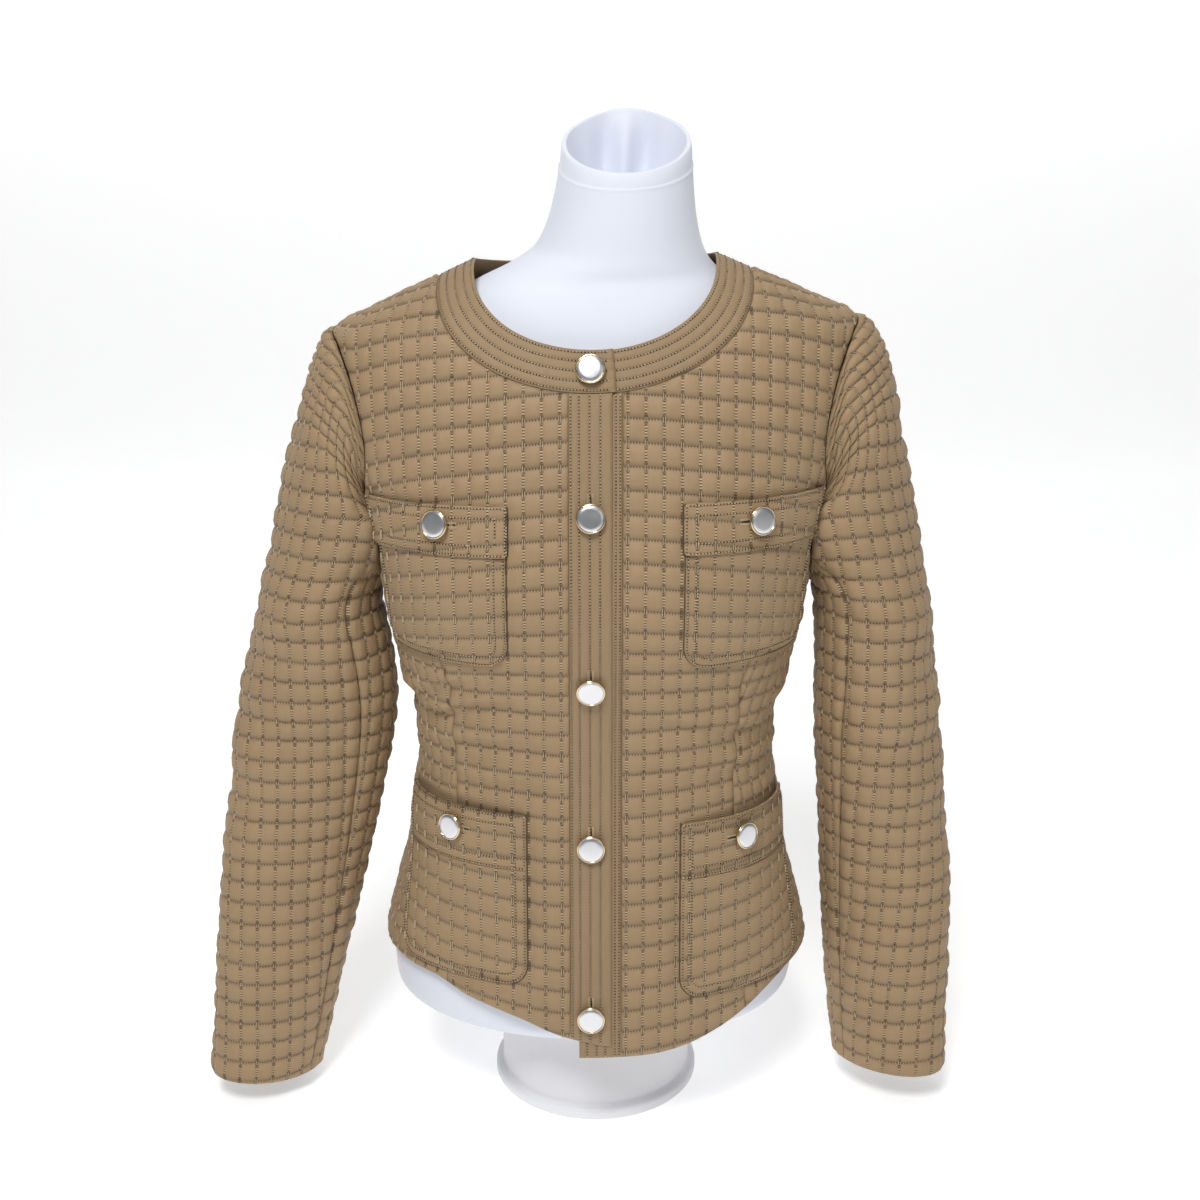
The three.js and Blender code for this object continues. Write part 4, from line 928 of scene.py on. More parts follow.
@dataclass
class Cut:
    """One cut piece of cloth, laid out as a grid in its grain and trimmed to its edges."""

    name: str
    surface: Surface
    across: tuple[float, float]
    heights: tuple[float, float]
    edges: list[Measure]
    wall: float
    relief: object
    lift: Measure
    rows: Callable[[Array], tuple[Array, Array]]
    grain: Grain = QUILTING
    folds: Sequence[Fold] = ()
    fold_calm: Optional[Measure] = None
    dense: Optional[Callable[[Array], Array]] = None
    shift: float = 0.0
    around: Optional[Measure] = None
    flip: int = 1
    soft_edge: float = 1.6
    edge_share: float = 0.7
    columns: Array = field(default=None, repr=False)
    steps: Array = field(default=None, repr=False)
    travelled: Array = field(default=None, repr=False)

    def __post_init__(self) -> None:
        """Measures the rows up every line of the grid."""
        low, high = ((end - self.shift) / self.grain.column for end in self.across)
        lines = Grain.lines(low, high, self.grain.column_stops)
        self.columns = lines * self.grain.column + self.shift
        self.steps = np.arange(self.heights[0], self.heights[1] + 0.5, 1.0)
        path = self.surface(self.columns[:, None], self.steps[None, :])
        length = np.linalg.norm(np.diff(path, axis=1), axis=2)
        if self.dense is not None:
            length = length * self.dense((self.steps[1:] + self.steps[:-1]) / 2.0)
        travelled = np.concatenate([np.zeros((len(lines), 1)), np.cumsum(length, axis=1)], axis=1)
        start, squeeze = self.rows(self.columns)
        zero = np.array([np.interp(z, self.steps, row) for z, row in zip(start, travelled)])
        travelled = travelled - zero[:, None]
        squeezed = np.where(travelled < 0, travelled * squeeze[:, None], travelled)
        self.travelled = squeezed / self.grain.row

    def edge(self, u: Array, z: Array) -> Array:
        """The distance inside the nearest cut line."""
        return np.min([np.broadcast_to(cut(u, z), np.shape(u)) for cut in self.edges], axis=0)

    def place(self, u: Array, z: Array) -> Place:
        """Where points lie in the piece's grain.

        Args:
            u: The first measure.
            z: The second measure.

        Returns:
            Their place.
        """
        k = np.clip(np.interp(u, self.columns, np.arange(len(self.columns))), 0, len(self.columns) - 1.001)
        n = np.clip(z - self.steps[0], 0, len(self.steps) - 1.001)
        low, under = k.astype(int), n.astype(int)
        on, up = k - low, n - under
        near = self.travelled[low, under] * (1 - up) + self.travelled[low, under + 1] * up
        far = self.travelled[low + 1, under] * (1 - up) + self.travelled[low + 1, under + 1] * up
        row = near * (1 - on) + far * on
        return Place(u, z, (u - self.shift) / self.grain.column, row, self.edge(u, z))

    def hang(self, u: Array, z: Array) -> Array:
        """How far the folds move the cloth outwards."""
        made = np.zeros(np.shape(u))
        way = u if self.around is None else self.around(u, z)
        for fold in self.folds:
            made = made + fold.at(way, z)
        calm = self.edge(u, z) if self.fold_calm is None else self.fold_calm(u, z)
        return made * smooth(calm / 9.0)

    def faces_at(self, u: Array, z: Array) -> tuple[Array, Array, Array]:
        """The cloth's two faces and its normals.

        Args:
            u: The first measure.
            z: The second measure.

        Returns:
            Points of the outer face, points of the inner face, and normals.
        """
        place = self.place(u, z)
        out = normals(self.surface, u, z, self.flip)
        base = self.surface(u, z)
        low = self.lift(u, z) + self.hang(u, z)
        rounded = self.edge_share + (1.0 - self.edge_share) * smooth(place.edge / self.soft_edge)
        high = low + self.wall * rounded + self.relief.height(place) * smooth(place.edge / 1.0)
        return base + out * high[..., None], base + out * low[..., None], out

    def settle(self, u: Array, z: Array) -> tuple[Array, Array]:
        """Moves places onto the nearest cut line.

        Args:
            u: The first measure.
            z: The second measure.

        Returns:
            The measures on the line.
        """
        step = 0.4
        for _ in range(8):
            value = np.clip(self.edge(u, z), -4.0, 4.0)
            du = (self.edge(u + step, z) - self.edge(u - step, z)) / (2 * step)
            dz = (self.edge(u, z + step) - self.edge(u, z - step)) / (2 * step)
            size = du**2 + dz**2
            share = np.where(size > 1e-4, value / np.maximum(size, 1e-4), 0.0)
            u = u - share * du
            z = z - share * dz
        return u, z

    def sew(self) -> "ClothMesh":
        """Lays the piece out as a closed wall.

        Returns:
            The wall's points, faces and grain.
        """
        rows = Grain.lines(self.travelled.min(), self.travelled.max(), self.grain.row_stops)
        z = np.stack([np.interp(rows, line, self.steps) for line in self.travelled])
        within = (rows[None, :] >= self.travelled[:, :1]) & (rows[None, :] <= self.travelled[:, -1:])
        u = np.broadcast_to(self.columns[:, None], z.shape).copy()
        inside = np.where(within, self.edge(u, z), -999.0).ravel()
        wide, tall = z.shape
        number = np.arange(wide * tall).reshape(wide, tall)
        corners = [number[:-1, :-1], number[1:, :-1], number[1:, 1:], number[:-1, 1:]]
        quads = np.stack(corners, axis=-1).reshape(-1, 4)
        snap = 0.3
        kept = quads[(inside[quads].max(axis=1) > snap) & (inside[quads].min(axis=1) > -900)]
        used, faces = np.unique(kept, return_inverse=True)
        faces = faces.reshape(-1, 4)
        u, z = u.ravel()[used], z.ravel()[used]
        loose = inside[used] < snap
        u[loose], z[loose] = self.settle(u[loose], z[loose])
        outer, inner, out = self.faces_at(u, z)
        place = self.place(u, z)
        return ClothMesh.closed(outer, inner, out, faces, np.stack([place.column, place.row], axis=-1))


@dataclass
class ClothMesh:
    """A closed wall of cloth: points, four-cornered faces and the grain at each point."""

    points: Array
    faces: Array
    grain: Array
    flat_area: float
    flat_size: tuple[float, float]

    @classmethod
    def closed(cls, outer: Array, inner: Array, out: Array, faces: Array, grain: Array) -> "ClothMesh":
        """Closes two faces of cloth into one wall.

        Args:
            outer: Points of the outer face.
            inner: The same points of the inner face.
            out: Normals at them.
            faces: Four-cornered faces over them.
            grain: The grain at each of them.

        Returns:
            The wall.
        """
        a, b, d = outer[faces[:, 0]], outer[faces[:, 1]], outer[faces[:, 3]]
        facing = np.einsum("ij,ij->i", np.cross(b - a, d - a), out[faces[:, 0]]).sum()
        if facing < 0:
            faces = faces[:, ::-1]
        edges = np.concatenate([faces[:, [k, (k + 1) % 4]] for k in range(4)])
        count = len(outer)
        key = np.sort(edges, axis=1) @ np.array([count, 1])
        _, first, uses = np.unique(key, return_index=True, return_counts=True)
        rim = edges[first[uses == 1]]
        sides = np.stack([rim[:, 1], rim[:, 0], rim[:, 0] + count, rim[:, 1] + count], axis=-1)
        whole = np.concatenate([faces, faces[:, ::-1] + count, sides])
        p, q, r, s = (inner[faces[:, k]] for k in range(4))
        area = 0.5 * np.linalg.norm(np.cross(r - p, s - q), axis=1).sum() * MM * MM
        return cls(np.concatenate([outer, inner]), whole, np.concatenate([grain, grain]), float(area), (0.0, 0.0))


def make_object(name: str, points: Array, faces: Array, finish: bpy.types.Material, grain: Optional[Array] = None) -> bpy.types.Object:
    """A smooth mesh object, in metres.

    Args:
        name: The piece's name.
        points: Points in millimetres.
        faces: Four-cornered faces.
        finish: The piece's material.
        grain: The grain at each point, for a UV map.

    Returns:
        The object, in the scene.
    """
    mesh = bpy.data.meshes.new(name)
    mesh.vertices.add(len(points))
    mesh.vertices.foreach_set("co", (points * MM).astype(np.float32).ravel())
    mesh.loops.add(len(faces) * 4)
    mesh.loops.foreach_set("vertex_index", faces.astype(np.int32).ravel())
    mesh.polygons.add(len(faces))
    mesh.polygons.foreach_set("loop_start", np.arange(0, len(faces) * 4, 4, dtype=np.int32))
    if grain is not None:
        layer = mesh.uv_layers.new(name="Grain")
        layer.data.foreach_set("uv", grain[faces.ravel()].astype(np.float32).ravel())
    mesh.update(calc_edges=True)
    mesh.validate()
    mesh.shade_smooth()
    mesh.materials.append(finish)
    made = bpy.data.objects.new(name, mesh)
    bpy.context.scene.collection.objects.link(made)
    return made


def report(piece: bpy.types.Object) -> None:
    """Says that a piece is built."""
    LOG.info("%s: %d faces", piece.name, len(piece.data.polygons))


# Finishes


class NodeSheet:
    """A material's nodes, with short ways to add and join them."""

    def __init__(self, name: str) -> None:
        """Starts a material with one shader.

        Args:
            name: The material's name.
        """
        self.material = bpy.data.materials.new(name)
        self.material.use_nodes = True
        self.tree = self.material.node_tree
        self.shader = self.tree.nodes["Principled BSDF"]

    def add(self, kind: str, **settings: object) -> bpy.types.Node:
        """Adds a node and sets its properties."""
        node = self.tree.nodes.new(kind)
        for key, value in settings.items():
            setattr(node, key, value)
        return node

    def feed(self, source: object, target: bpy.types.NodeSocket) -> None:
        """Joins a socket to another, or sets a plain value on it."""
        if isinstance(source, bpy.types.NodeSocket):
            self.tree.links.new(source, target)
        else:
            target.default_value = source

    def math(self, operation: str, *values: object) -> bpy.types.NodeSocket:
        """Adds a sum of one to three values."""
        node = self.add("ShaderNodeMath", operation=operation)
        for k, value in enumerate(values):
            self.feed(value, node.inputs[k])
        return node.outputs[0]

    def ramp(self, value: object, start: float, stop: float, low: float = 0.0, high: float = 1.0) -> bpy.types.NodeSocket:
        """A soft step of a value between two places."""
        node = self.add("ShaderNodeMapRange", interpolation_type="SMOOTHSTEP")
        for socket, fed in zip(node.inputs, (value, start, stop, low, high)):
            self.feed(fed, socket)
        return node.outputs[0]

    def tint(self, share: object, first: object, second: object, blend: str = "MIX") -> bpy.types.NodeSocket:
        """Mixes two colours."""
        node = self.add("ShaderNodeMix", data_type="RGBA", blend_type=blend)
        self.feed(share, node.inputs[0])
        self.feed(first, node.inputs[6])
        self.feed(second, node.inputs[7])
        return node.outputs[2]

    def noise(self, vector: object, scale: float, detail: float = 2.0, roughness: float = 0.5) -> bpy.types.NodeSocket:
        """Noise by a vector."""
        node = self.add("ShaderNodeTexNoise")
        self.feed(vector, node.inputs["Vector"])
        node.inputs["Scale"].default_value = scale
        node.inputs["Detail"].default_value = detail
        node.inputs["Roughness"].default_value = roughness
        return node.outputs["Fac"]

    def place(self) -> bpy.types.NodeSocket:
        """The object's own coordinates, in metres."""
        return self.add("ShaderNodeTexCoord").outputs["Object"]

    def stretched(self, vector: object, scale: tuple[float, float, float]) -> bpy.types.NodeSocket:
        """A vector stretched along its axes."""
        node = self.add("ShaderNodeMapping")
        self.feed(vector, node.inputs["Vector"])
        node.inputs["Scale"].default_value = scale
        return node.outputs[0]

    def bump(self, height: object, distance: float, strength: float = 1.0) -> None:
        """Sets the shader's normal from a height in the given unit."""
        node = self.add("ShaderNodeBump")
        node.inputs["Strength"].default_value = strength
        node.inputs["Distance"].default_value = distance
        self.feed(height, node.inputs["Height"])
        self.tree.links.new(node.outputs[0], self.shader.inputs["Normal"])

    def set(self, **values: object) -> None:
        """Sets the shader's plain sockets, named with underscores for spaces."""
        for key, value in values.items():
            self.feed(value, self.shader.inputs[key.replace("_", " ")])


def opaque(red: float, green: float, blue: float) -> tuple[float, float, float, float]:
    """A linear colour with full cover."""
    return (red, green, blue, 1.0)


@dataclass(frozen=True)
class ClothFinish:
    """Light brown, slightly satin cloth, with or without machine quilting."""

    name: str
    quilted: bool
    colour: tuple[float, float, float] = (0.322, 0.218, 0.120)
    shade: tuple[float, float, float] = (0.10, 0.062, 0.034)
    thread: tuple[float, float, float] = (0.56, 0.42, 0.25)
    roughness: float = 0.62
    sheen: float = 0.05

    def make(self) -> bpy.types.Material:
        """Builds the cloth's material.

        Returns:
            The material.
        """
        sheet = NodeSheet(self.name)
        place = sheet.place()
        weave = sheet.noise(sheet.stretched(place, (1.0, 1.0, 2.2)), 1500.0, 1.0)
        slub = sheet.noise(sheet.stretched(place, (1.0, 1.0, 0.25)), 260.0, 2.0)
        cloudy = sheet.noise(place, 16.0, 3.0)
        grey = sheet.math("ADD", sheet.math("MULTIPLY", weave, 0.10), sheet.math("MULTIPLY", slub, 0.08))
        grey = sheet.math("ADD", grey, sheet.math("MULTIPLY", cloudy, 0.16))
        grey = sheet.math("ADD", grey, 0.83)
        crumple = sheet.noise(sheet.stretched(place, (1.0, 1.0, 0.55)), 190.0, 2.0)
        height = sheet.math("MULTIPLY", crumple, 0.85)
        height = sheet.math("ADD", height, sheet.math("MULTIPLY", weave, 0.05))
        colour = opaque(*self.colour)
        if self.quilted:
            colour, height, grey = self.quilting(sheet, colour, height, grey)
        value = sheet.add("ShaderNodeCombineColor")
        for socket in value.inputs:
            sheet.feed(grey, socket)
        sheet.set(Base_Color=sheet.tint(1.0, colour, value.outputs[0], "MULTIPLY"))
        sheet.set(Roughness=self.roughness, Sheen_Weight=self.sheen, Sheen_Roughness=0.4)
        sheet.shader.inputs["Specular IOR Level"].default_value = 0.35
        sheet.bump(height, MM, 0.8)
        return sheet.material

    def quilting(self, sheet: NodeSheet, colour: object, height: object, grey: object) -> tuple[object, object, object]:
        """Adds the dotted stitching by the grain, with painted shade along the rows, on the lower part of each pillow,
        in the needle holes and round the crossings, and a painted highlight on the top of each pillow.

        Args:
            sheet: The material's nodes.
            colour: The cloth's colour.
            height: The cloth's height.
            grey: The cloth's brightness.

        Returns:
            The three with the quilting in them.
        """
        grain = sheet.add("ShaderNodeSeparateXYZ")
        sheet.feed(sheet.add("ShaderNodeUVMap", uv_map="Grain").outputs[0], grain.inputs[0])
        column, row = grain.outputs[0], grain.outputs[1]
        from_column = sheet.math("MULTIPLY", sheet.math("PINGPONG", column, 0.5), QUILTING.column)
        from_row = sheet.math("MULTIPLY", sheet.math("PINGPONG", row, 0.5), QUILTING.row)
        for near, along, count, wide, strength in (
            (from_column, row, 8.0, 1.05, 1.0),
            (from_row, column, 6.0, 0.8, 0.7),
        ):
            line = sheet.math("MULTIPLY", sheet.ramp(near, wide, 0.5 * wide), strength)
            beat = sheet.math("PINGPONG", sheet.math("MULTIPLY", along, count), 0.5)
            # painted shade: dark dots at the needle holes along the quilting lines
            hole = sheet.math("MULTIPLY", line, sheet.ramp(beat, 0.24, 0.1))
            thread = sheet.math("MULTIPLY", line, sheet.ramp(beat, 0.2, 0.34))
            colour = sheet.tint(sheet.math("MULTIPLY", thread, 0.8), colour, opaque(*self.thread))
            colour = sheet.tint(hole, colour, opaque(*self.shade))
            height = sheet.math("ADD", height, sheet.math("MULTIPLY", thread, 0.22))
            height = sheet.math("SUBTRACT", height, sheet.math("MULTIPLY", hole, 0.4))
        # painted shade: a dark patch round each crossing stitch
        crossing = sheet.math("MULTIPLY", sheet.ramp(from_column, 1.5, 1.0), sheet.ramp(from_row, 4.2, 3.2))
        colour = sheet.tint(sheet.math("MULTIPLY", crossing, 0.75), colour, opaque(*self.shade))
        # painted shade in the furrows along each row of quilting
        painted_valley_shade = sheet.math("MULTIPLY", sheet.ramp(from_row, 2.2, 0.2), 0.14)
        # painted shade on the lower part of each pillow and a painted highlight on its upper part, as if lit from above
        rise = sheet.math("FRACT", row)
        under = sheet.math("MULTIPLY", sheet.ramp(rise, 0.34, 0.0), 0.27)
        painted_crown_highlight = sheet.math("MULTIPLY", sheet.ramp(rise, 0.35, 0.85), 0.09)
        grey = sheet.math("SUBTRACT", sheet.math("SUBTRACT", grey, painted_valley_shade), under)
        grey = sheet.math("ADD", grey, painted_crown_highlight)
        cell = sheet.add("ShaderNodeCombineXYZ")
        sheet.feed(sheet.math("FLOOR", column), cell.inputs[0])
        sheet.feed(sheet.math("FLOOR", row), cell.inputs[1])
        drawn = sheet.add("ShaderNodeTexWhiteNoise", noise_dimensions="2D")
        sheet.feed(cell.outputs[0], drawn.inputs["Vector"])
        grey = sheet.math("ADD", grey, sheet.math("MULTIPLY", drawn.outputs["Value"], 0.05))
        return colour, height, grey


@dataclass(frozen=True)
class ThreadFinish:
    """Twisted sewing thread in the cloth's own colour, a little lighter."""

    name: str = "sewing_thread"
    colour: tuple[float, float, float] = (0.58, 0.44, 0.27)

    def make(self) -> bpy.types.Material:
        """Builds the thread's material."""
        sheet = NodeSheet(self.name)
        place = sheet.place()
        twist = sheet.noise(place, 2600.0, 1.0)
        light = sheet.tint(twist, opaque(*(0.8 * x for x in self.colour)), opaque(*(1.15 * x for x in self.colour)))
        sheet.set(Base_Color=light, Roughness=0.45, Sheen_Weight=0.2)
        sheet.bump(twist, 0.15 * MM, 0.5)
        return sheet.material


@dataclass(frozen=True)
class MetalFinish:
    """Polished or satin metal with fine scratches."""

    name: str
    colour: tuple[float, float, float]
    roughness: float
    scratches: float

    def make(self) -> bpy.types.Material:
        """Builds the metal's material."""
        sheet = NodeSheet(self.name)
        place = sheet.place()
        worn = sheet.noise(place, 90.0, 3.0)
        fine = sheet.noise(sheet.stretched(place, (1.0, 1.0, 9.0)), 900.0, 2.0)
        rough = sheet.math("ADD", sheet.math("MULTIPLY", worn, 0.12), self.roughness)
        dark = opaque(*(0.88 * x for x in self.colour))
        sheet.set(Base_Color=sheet.tint(worn, dark, opaque(*self.colour)), Metallic=1.0, Roughness=rough)
        sheet.bump(fine, 0.02 * MM, self.scratches)
        return sheet.material


@dataclass(frozen=True)
class JerseyFinish:
    """White stretch jersey with a fine knit."""

    name: str = "jersey"
    colour: tuple[float, float, float] = (0.765, 0.795, 0.885)

    def make(self) -> bpy.types.Material:
        """Builds the jersey's material."""
        sheet = NodeSheet(self.name)
        place = sheet.place()
        knit = sheet.noise(sheet.stretched(place, (1.0, 1.0, 2.5)), 800.0, 1.0)
        cloudy = sheet.noise(place, 9.0, 2.0)
        darker = opaque(*(0.965 * x for x in self.colour))
        sheet.set(Base_Color=sheet.tint(cloudy, darker, opaque(*self.colour)), Roughness=0.7, Sheen_Weight=0.3)
        sheet.bump(knit, 0.1 * MM, 0.5)
        return sheet.material


@dataclass(frozen=True)
class MattFinish:
    """A matt surface with a faint grain."""

    name: str
    colour: tuple[float, float, float]
    roughness: float = 0.6
    glow: float = 0.0

    def make(self) -> bpy.types.Material:
        """Builds the matt material."""
        sheet = NodeSheet(self.name)
        place = sheet.place()
        grain = sheet.noise(place, 320.0, 3.0)
        darker = opaque(*(0.96 * x for x in self.colour))
        sheet.set(Base_Color=sheet.tint(grain, darker, opaque(*self.colour)), Roughness=self.roughness)
        if self.glow:
            sheet.set(Emission_Color=opaque(1.0, 1.0, 1.0), Emission_Strength=self.glow)
        sheet.bump(grain, 0.05 * MM, 0.4)
        return sheet.material


@dataclass
class Finishes:
    """Every material of the scene."""

    quilted: bpy.types.Material
    plain: bpy.types.Material
    thread: bpy.types.Material
    dark: bpy.types.Material
    # painted shadow for the gaps under the pockets' edges
    turned: bpy.types.Material
    rim: bpy.types.Material
    face: bpy.types.Material
    jersey: bpy.types.Material
    plinth: bpy.types.Material
    floor: bpy.types.Material

    @classmethod
    def make(cls) -> "Finishes":
        """Builds them all."""
        return cls(
            quilted=ClothFinish("quilted_cloth", True).make(),
            # plain cloth painted a little darker than the quilted cloth, as painted shade for the bands' stitched rows
            plain=ClothFinish("plain_cloth", False, (0.305, 0.207, 0.114)).make(),
            thread=ThreadFinish().make(),
            # painted shadow for the buttonhole slits and the needle holes
            dark=MattFinish("slit_shadow", (0.035, 0.022, 0.013), 0.9).make(),
            # a dark painted shadow, laid as strips under the pockets' edges
            turned=MattFinish("pocket_edge_shadow", (0.10, 0.062, 0.034), 0.9).make(),
            rim=MetalFinish("polished_rim", (0.74, 0.6, 0.41), 0.12, 0.2).make(),
            face=MetalFinish("satin_face", (0.78, 0.78, 0.8), 0.24, 0.3).make(),
            jersey=JerseyFinish().make(),
            plinth=MattFinish("plinth_coat", (0.82, 0.82, 0.84), 0.5).make(),
            floor=MattFinish("pale_floor", (0.93, 0.93, 0.93), 0.8, 0.41).make(),
        )


# Stitching


@dataclass
class StitchKind:
    """One kind of stitch: its thread, its length and how many threads lie side by side."""

    name: str
    length: float
    thread: float
    rise: float
    apart: float
    ends: float = -0.1
    sides: int = 4
    bends: int = 1
    pitch: float = 0.0
    seed: int = 7

    def tree(self, finish: bpy.types.Material) -> bpy.types.GeometryNodeTree:
        """Builds the nodes that set a stitch on every point, or along every path.

        Args:
            finish: The thread's material.

        Returns:
            The tree.
        """
        tree = bpy.data.node_groups.new(self.name, "GeometryNodeTree")
        face = tree.interface
        face.new_socket("Geometry", in_out="INPUT", socket_type="NodeSocketGeometry")
        for title in ("Length", "Thread", "Rise", "Ends", "Apart", "Pitch"):
            face.new_socket(title, in_out="INPUT", socket_type="NodeSocketFloat")
        face.new_socket("Seed", in_out="INPUT", socket_type="NodeSocketInt")
        face.new_socket("Geometry", in_out="OUTPUT", socket_type="NodeSocketGeometry")
        into = tree.nodes.new("NodeGroupInput")
        result = tree.nodes.new("NodeGroupOutput")

        def add(kind: str, **settings: object) -> bpy.types.Node:
            """Adds a node and sets its properties."""
            node = tree.nodes.new(kind)
            for key, value in settings.items():
                setattr(node, key, value)
            return node

        def join(source: bpy.types.NodeSocket, target: bpy.types.NodeSocket) -> None:
            """Joins two sockets."""
            tree.links.new(source, target)

        def named(attribute: str) -> bpy.types.NodeSocket:
            """Reads a vector stored on the points."""
            node = add("GeometryNodeInputNamedAttribute", data_type="FLOAT_VECTOR")
            node.inputs["Name"].default_value = attribute
            return node.outputs["Attribute"]

        def scaled(source: bpy.types.NodeSocket, factor: float) -> bpy.types.NodeSocket:
            """Multiplies a number."""
            node = add("ShaderNodeMath", operation="MULTIPLY")
            join(source, node.inputs[0])
            node.inputs[1].default_value = factor
            return node.outputs[0]

        def point(x: object, y: object, z: object) -> bpy.types.NodeSocket:
            """A vector from sockets or plain numbers."""
            node = add("ShaderNodeCombineXYZ")
            for fed, socket in zip((x, y, z), node.inputs):
                if isinstance(fed, bpy.types.NodeSocket):
                    join(fed, socket)
                else:
                    socket.default_value = fed
            return node.outputs[0]

        half = scaled(into.outputs["Length"], 0.5)
        ends = into.outputs["Ends"]
        bow = add("GeometryNodeCurveQuadraticBezier" if self.bends > 1 else "GeometryNodeCurvePrimitiveLine")
        if self.bends > 1:
            bow.inputs["Resolution"].default_value = self.bends
            join(point(0.0, 0.0, into.outputs["Rise"]), bow.inputs["Middle"])
        join(point(scaled(half, -1.0), 0.0, ends), bow.inputs["Start"])
        join(point(half, 0.0, ends), bow.inputs["End"])
        ring = add("GeometryNodeCurvePrimitiveCircle")
        ring.inputs["Resolution"].default_value = self.sides
        join(into.outputs["Thread"], ring.inputs["Radius"])
        tube = add("GeometryNodeCurveToMesh")
        join(bow.outputs[0], tube.inputs[0])
        join(ring.outputs[0], tube.inputs[1])
        tube.inputs["Fill Caps"].default_value = True
        stitch = tube.outputs[0]
        if self.apart:
            both = add("GeometryNodeJoinGeometry")
            for side in (0.5, -0.5):
                moved = add("GeometryNodeTransform")
                join(stitch, moved.inputs[0])
                join(point(0.0, scaled(into.outputs["Apart"], side), 0.0), moved.inputs["Translation"])
                join(moved.outputs[0], both.inputs[0])
            stitch = both.outputs[0]
        along = named("along")
        points = into.outputs["Geometry"]
        if self.pitch:
            path = add("GeometryNodeMeshToCurve")
            join(points, path.inputs[0])
            even = add("GeometryNodeResampleCurve", mode="LENGTH")
            join(path.outputs[0], even.inputs["Curve"])
            join(into.outputs["Pitch"], even.inputs["Length"])
            points = even.outputs[0]
            along = add("GeometryNodeInputTangent").outputs[0]
        first = add("FunctionNodeAlignRotationToVector", axis="X", pivot_axis="AUTO")
        join(along, first.inputs["Vector"])
        second = add("FunctionNodeAlignRotationToVector", axis="Z", pivot_axis="X")
        join(first.outputs[0], second.inputs["Rotation"])
        join(named("out"), second.inputs["Vector"])
        uneven = add("FunctionNodeRandomValue", data_type="FLOAT")
        uneven.inputs[2].default_value = 0.9
        uneven.inputs[3].default_value = 1.08
        join(into.outputs["Seed"], uneven.inputs["Seed"])
        spread = add("GeometryNodeInstanceOnPoints")
        join(points, spread.inputs["Points"])
        join(stitch, spread.inputs["Instance"])
        join(second.outputs[0], spread.inputs["Rotation"])
        join(uneven.outputs[1], spread.inputs["Scale"])
        real = add("GeometryNodeRealizeInstances")
        join(spread.outputs[0], real.inputs[0])
        shaded = add("GeometryNodeSetMaterial")
        join(real.outputs[0], shaded.inputs["Geometry"])
        shaded.inputs["Material"].default_value = finish
        join(shaded.outputs[0], result.inputs[0])
        return tree

    def values(self) -> dict[str, float]:
        """The tree's named inputs, in metres."""
        return {
            "Length": self.length * MM,
            "Thread": self.thread * MM,
            "Rise": self.rise * MM,
            "Ends": self.ends * MM,
            "Apart": self.apart * MM,
            "Pitch": self.pitch * MM,
            "Seed": self.seed,
        }


@dataclass
class StitchWork:
    """Every stitch of one kind: the points or paths that it follows, and their directions."""

    kind: StitchKind
    points: list[Array] = field(default_factory=list)
    out: list[Array] = field(default_factory=list)
    along: list[Array] = field(default_factory=list)

    def add(self, points: Array, out: Array, along: Optional[Array] = None) -> None:
        """Adds one path, or one set of points with the way that their stitches run."""
        if len(points) < 2:
            return
        self.points.append(points)
        self.out.append(out)
        self.along.append(np.zeros_like(points) if along is None else along)

    def build(self, name: str, finish: bpy.types.Material) -> bpy.types.Object:
        """Turns the paths into a plain mesh of thread.

        Args:
            name: The piece's name.
            finish: The thread's material.

        Returns:
            The piece.
        """
        points = np.concatenate(self.points) * MM
        edges = []
        if self.kind.pitch:
            start = 0
            for path in self.points:
                edges += [(start + k, start + k + 1) for k in range(len(path) - 1)]
                start += len(path)
        guide = bpy.data.meshes.new(name + "_guide")
        guide.from_pydata(points.tolist(), edges, [])
        for title, values in (("out", self.out), ("along", self.along)):
            stored = guide.attributes.new(title, "FLOAT_VECTOR", "POINT")
            stored.data.foreach_set("vector", np.concatenate(values).astype(np.float32).ravel())
        holder = bpy.data.objects.new(name + "_guide", guide)
        bpy.context.scene.collection.objects.link(holder)
        modifier = holder.modifiers.new("stitches", "NODES")
        modifier.node_group = self.kind.tree(finish)
        values = self.kind.values()
        for item in modifier.node_group.interface.items_tree:
            if item.in_out == "INPUT" and item.name in values:
                modifier[item.identifier] = values[item.name]
        graph = bpy.context.evaluated_depsgraph_get()
        mesh = bpy.data.meshes.new_from_object(holder.evaluated_get(graph), depsgraph=graph)
        mesh.name = name
        mesh.shade_smooth()
        holder.modifiers.remove(modifier)
        bpy.data.objects.remove(holder)
        if not mesh.materials:
            mesh.materials.append(finish)
        made = bpy.data.objects.new(name, mesh)
        bpy.context.scene.collection.objects.link(made)
        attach(made, "root")
        report(made)
        return made


CROSSING = StitchKind("crossing_stitch", length=6.0, thread=0.33, rise=0.66, apart=1.3, ends=0.3, sides=3, bends=3)
TOPSTITCH = StitchKind("topstitch", length=1.5, thread=0.3, rise=0.42, apart=0.0, ends=0.42, pitch=2.3)
# needle holes: dark dots of painted shade between the topstitches
NEEDLE_HOLE_SHADE = StitchKind("needle_hole_shade", length=1.0, thread=0.48, rise=0.36, apart=0.0, ends=0.36, pitch=2.3)
BAR = StitchKind("buttonhole_stitch", length=1.5, thread=0.22, rise=0.18, apart=0.0, ends=0.18)


